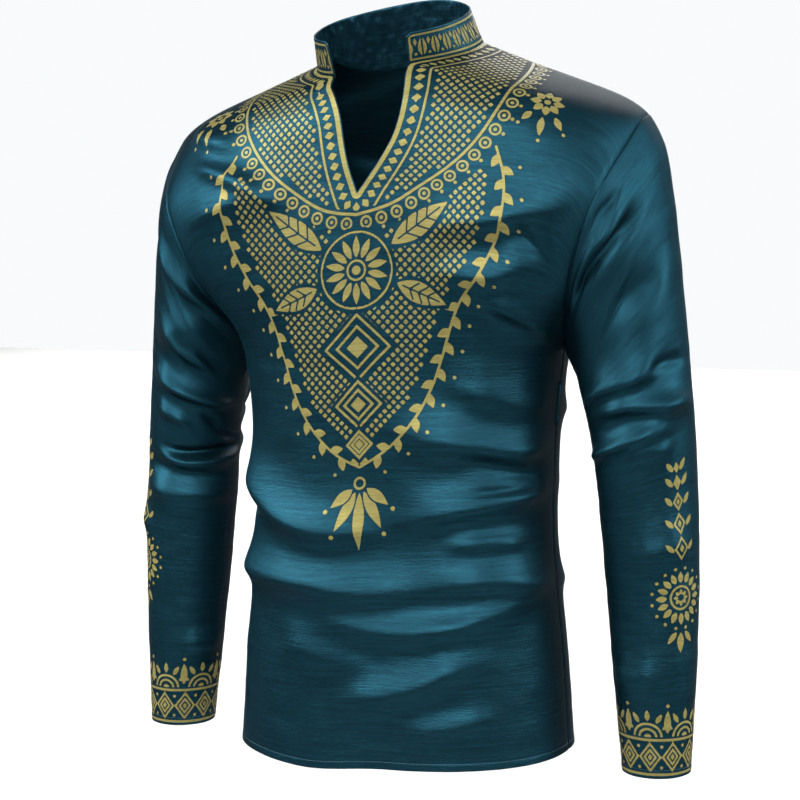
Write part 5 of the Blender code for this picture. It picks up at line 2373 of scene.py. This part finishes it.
@dataclass
class Studio:
    """Pale floor, soft boxes and the camera at the photograph's angle.

    The shirt is lit softly from the front and both sides, so its folds shade gently, and a
    bright low room behind it gives the plain backdrop.
    """

    azimuth: float = 22.0
    elevation: float = 5.5
    distance: float = 2.02
    target: tuple[float, float, float] = (0.0, 0.0, -0.37)
    lens: float = 86.4
    shift_x: float = -0.00875
    floor_z: float = -1.3
    floor_reach: float = 12.0
    panel_size: float = 12.0
    panel_power: float = 820.0
    panel_spread: float = 80.0
    panel_place: tuple[float, float, float] = (-2.5, 8.0, 3.0)
    spread: float = 52.0
    world: str = "#f0f2f3"
    room_front: float = 0.46
    room_back: float = 1.08

    def place(self, azimuth: float, elevation: float, distance: float) -> Vector:
        """A place round the target: azimuth 0 is in front and 90 at the wearer's left.

        Args:
            azimuth: degrees.
            elevation: degrees.
            distance: metres.

        Returns:
            The place in metres.
        """
        a, e = np.radians(azimuth), np.radians(elevation)
        offset = np.array([np.sin(a) * np.cos(e), -np.cos(a) * np.cos(e), np.sin(e)])
        return Vector(offset * distance) + Vector(self.target)

    def aim(self, thing: bpy.types.Object, place: Sequence[float]) -> None:
        """Put a camera or light round the target, facing it.

        Args:
            thing: the camera or light.
            place: its azimuth, elevation and distance.
        """
        thing.location = self.place(*place)
        away = thing.location - Vector(self.target)
        thing.rotation_mode = "QUATERNION"
        thing.rotation_quaternion = away.to_track_quat("Z", "Y")
        bpy.context.scene.collection.objects.link(thing)

    def add_light(self, name: str, place: Sequence[float], size: Place, power: float) -> None:
        """Add one soft box with a grid that keeps its light on the shirt.

        Args:
            name: the light's name.
            place: its azimuth, elevation and distance.
            size: its width and height in metres.
            power: watts.
        """
        light = bpy.data.lights.new(name, "AREA")
        light.shape = "RECTANGLE"
        light.size, light.size_y = size
        light.energy = power
        light.spread = np.radians(self.spread)
        holder = bpy.data.objects.new(name, light)
        holder.visible_camera = False
        self.aim(holder, place)

    def build(self) -> None:
        """Make the camera, the lights, the world and the floor."""
        camera = bpy.data.cameras.new("camera")
        camera.lens = self.lens
        camera.sensor_width = 36.0
        camera.shift_x = self.shift_x
        holder = bpy.data.objects.new("camera", camera)
        self.aim(holder, (self.azimuth, self.elevation, self.distance))
        bpy.context.scene.camera = holder
        for light in SOFT_BOXES:
            self.add_light(*light)
        self.add_floor_light()
        self.add_world()
        bpy.context.scene.view_settings.view_transform = "Standard"
        self.add_floor()

    def add_floor_light(self) -> None:
        """A wide ceiling panel over the floor behind the shirt."""
        panel = bpy.data.lights.new("ceiling panel", "AREA")
        panel.size = self.panel_size
        panel.energy = self.panel_power
        panel.spread = np.radians(self.panel_spread)
        holder = bpy.data.objects.new("ceiling panel", panel)
        holder.location = self.panel_place
        bpy.context.scene.collection.objects.link(holder)

    def add_world(self) -> None:
        """A room that is bright low down behind the shirt and dim in front of it and above."""
        world = bpy.data.worlds.new("studio")
        world.use_nodes = True
        tree = world.node_tree
        way = add_node(tree, "ShaderNodeTexCoord").outputs["Generated"]
        parts = add_node(tree, "ShaderNodeSeparateXYZ", {}, {0: way})
        spans = {
            "Y": {"From Min": 0.55, "From Max": 0.8},
            "Z": {"From Min": 0.24, "From Max": 0.4, "To Min": 1.0, "To Max": 0.0},
        }
        behind, low = [
            add_node(tree, "ShaderNodeMapRange", span, {"Value": parts.outputs[axis]}).outputs[0]
            for axis, span in spans.items()
        ]
        times = {"operation": "MULTIPLY"}
        bright = add_node(tree, "ShaderNodeMath", times, {0: behind, 1: low}).outputs[0]
        span = {"To Min": self.room_front, "To Max": self.room_back}
        strength = add_node(tree, "ShaderNodeMapRange", span, {"Value": bright}).outputs[0]
        set_sockets(tree.nodes["Background"], {"Color": self.world, "Strength": strength})
        bpy.context.scene.world = world

    def add_floor(self) -> None:
        """A wide plain floor well below the hem."""
        mesh = bpy.data.meshes.new("floor")
        r, z = self.floor_reach, self.floor_z
        mesh.from_pydata([(-r, -r, z), (r, -r, z), (r, r, z), (-r, r, z)], [], [(0, 1, 2, 3)])
        material, shader = new_material("matt white floor")
        set_sockets(shader, {"Base Color": "#d2d2d0", "Roughness": 0.8})
        mesh.materials.append(material)
        floor = bpy.data.objects.new("floor", mesh)
        bpy.context.scene.collection.objects.link(floor)


@dataclass
class Shirt:
    """The whole shirt: cloth pieces, stitches and print."""

    cloth_wall: float = 0.9
    turned_wall: float = 1.6
    turn_height: float = 18.0
    cuff_columns: int = 170
    collar_columns: int = 520
    cuff_turn: float = 12.0
    forearm_turn: float = 39.0
    torso: Torso = field(default_factory=Torso)
    collar: Collar = field(default_factory=Collar)
    ornament: Ornament = field(default_factory=Ornament)

    def build(self) -> None:
        satin = SlubSatin("teal slub satin", "#0e2730", "#11303a", "#0c2029").build()
        # The collar band's satin is the body's satin in lighter colours: painted light, which lifts
        # the shade that falls inside the collar.
        band = SlubSatin("dark teal slub satin", "#15323d", "#193a47", "#112934").build()
        halves = self.torso.halves()
        sleeves = [
            Sleeve(Side.LEFT, LEFT_SLEEVE_FOLDS),
            Sleeve(Side.RIGHT, RIGHT_SLEEVE_FOLDS),
        ]
        base = self.collar.neckline(self.torso, halves)
        for sleeve in sleeves:
            sleeve.build(self.torso, halves)
            sleeve.sink_seam()
        self.torso.sink_seams(halves)
        heights = self.torso.front_grid(1)[0][:, 0]
        tip = int(np.searchsorted(heights, V_TIP + 1e-9))
        gold, thread = GoldFoil().build(), Thread().build()
        for piece, shared in ((Piece.FRONT, tip), (Piece.BACK, None)):
            left, right = halves[piece, 1], halves[piece, -1]
            wall = self.wall(self.torso.above_hem(left.points))
            added = [self.stitch_hem(piece.value, left, right, thread)]
            if piece is Piece.FRONT:
                wall = np.maximum(wall, self.wall(self.edge_run(left, heights)))
                added.append(self.print_front(left, right, tip, gold))
            made = Wall.from_halves(piece.value, left, right, shared, wall).build(satin)
            self.declare(made, piece.value)
        for sleeve in sleeves:
            name = "sleeve_" + sleeve.side.name.lower()
            patch = sleeve.patch
            wall = self.wall(patch.chart[..., 1])
            faces = ring_faces(patch.points.shape[:2])
            made = Wall.from_patch(name, patch, faces, wall).build(satin)
            added = [self.print_sleeve(name, patch, gold), self.stitch_cuff(name, patch, thread)]
            self.declare(made, name)
        patch = self.collar.build(self.torso, base)
        faces = grid_faces(numbered(patch.points.shape[:2]))
        made = Wall.from_patch("collar_band", patch, faces, self.collar.thickness(patch))
        added = [self.print_collar(patch, gold)]
        self.declare(made.build(band), "collar_band")

    def print_front(
        self, left: Patch, right: Patch, tip: int, gold: bpy.types.Material
    ) -> bpy.types.Object:
        """Print both halves of the front, each from its own edge of the V.

        Args:
            left: the wearer's left half.
            right: the wearer's right half.
            tip: the first row above the V's tip.
            gold: the print's finish.

        Returns:
            The object.
        """
        prints = []
        for half in (left, right):
            line = half.chart[tip - 1 :: 3, 0]
            edge = [(abs(float(across)), float(up)) for across, up in line]
            drawing = self.ornament.draw_front(edge)
            prints.append(Print.lay(drawing, *lay_on_front(half, drawing)))
        return Print.build("front_print", prints, gold)

    def print_sleeve(self, name: str, patch: Patch, gold: bpy.types.Material) -> bpy.types.Object:
        """Print the cuff all round and the outer forearm.

        Args:
            name: the piece's name.
            patch: the piece's patch.
            gold: the print's finish.

        Returns:
            The object.
        """
        girth = float(patch.chart[-1, 1, 0]) * patch.points.shape[1]
        cuff = self.ornament.draw_cuff(girth, self.cuff_columns)
        forearm = self.ornament.draw_forearm()
        prints = [
            Print.lay(cuff, *lay_on_sleeve(patch, cuff, self.cuff_turn, girth)),
            Print.lay(forearm, *lay_on_sleeve(patch, forearm, self.forearm_turn, 0.0)),
        ]
        return Print.build(name + "_print", prints, gold)

    def print_collar(self, patch: Patch, gold: bpy.types.Material) -> bpy.types.Object:
        """Print the collar's outer face from end to end.

        Args:
            patch: the piece's patch.
            gold: the print's finish.

        Returns:
            The object.
        """
        length = float(patch.chart[0, -1, 0])
        drawing = self.ornament.draw_collar(length, self.collar_columns)
        drawn = Print.lay(drawing, *lay_on_collar(patch, drawing))
        return Print.build("collar_print", [drawn], gold)

    def stitch_hem(
        self, name: str, left: Patch, right: Patch, thread: bpy.types.Material
    ) -> bpy.types.Object:
        """Stitch a panel's turned hem from side seam to side seam."""
        line, normals = [
            np.concatenate([getattr(right, key)[STITCH_ROW, :0:-1], getattr(left, key)[STITCH_ROW]])
            for key in ("points", "normals")
        ]
        return Stitches().build(name + "_stitches", line[2:-2], normals[2:-2], thread)

    def stitch_cuff(self, name: str, patch: Patch, thread: bpy.types.Material) -> bpy.types.Object:
        """Stitch a sleeve's turned edge all round.

        Args:
            name: the piece's name.
            patch: the piece's patch.
            thread: the thread's finish.

        Returns:
            The object.
        """
        row = -1 - STITCH_ROW
        line, normals = [
            np.concatenate([grid[row], grid[row, :1]]) for grid in (patch.points, patch.normals)
        ]
        return Stitches().build(name + "_stitches", line, normals, thread)

    def wall(self, from_edge: Array) -> Array:
        """Thickness of the cloth: doubled within the turned edge."""
        turned = 1.0 - smooth((from_edge - self.turn_height + 1.0) / 1.0)
        return self.cloth_wall + (self.turned_wall - self.cloth_wall) * turned

    def edge_run(self, patch: Patch, heights: Array) -> Array:
        """Distance along each row from its inner edge, above the V's tip."""
        run = np.abs(patch.chart[..., 0] - patch.chart[:, :1, 0])
        return np.where(heights[:, None] > V_TIP, run, FAR)

    def declare(
        self, made: bpy.types.Object, node: str
    ) -> None:
        """Name a cloth piece after the node it stands for, and hide that node's own part.

        Args:
            made: the cloth piece.
            node: the node it stands for.
        """
        made.name = node + "_cloth"
        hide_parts(node)


def main() -> None:
    """Build the shirt and the studio."""
    logging.basicConfig(level=logging.INFO, format="%(message)s")
    Shirt().build()
    Studio().build()


if __name__ == "__main__":
    main()
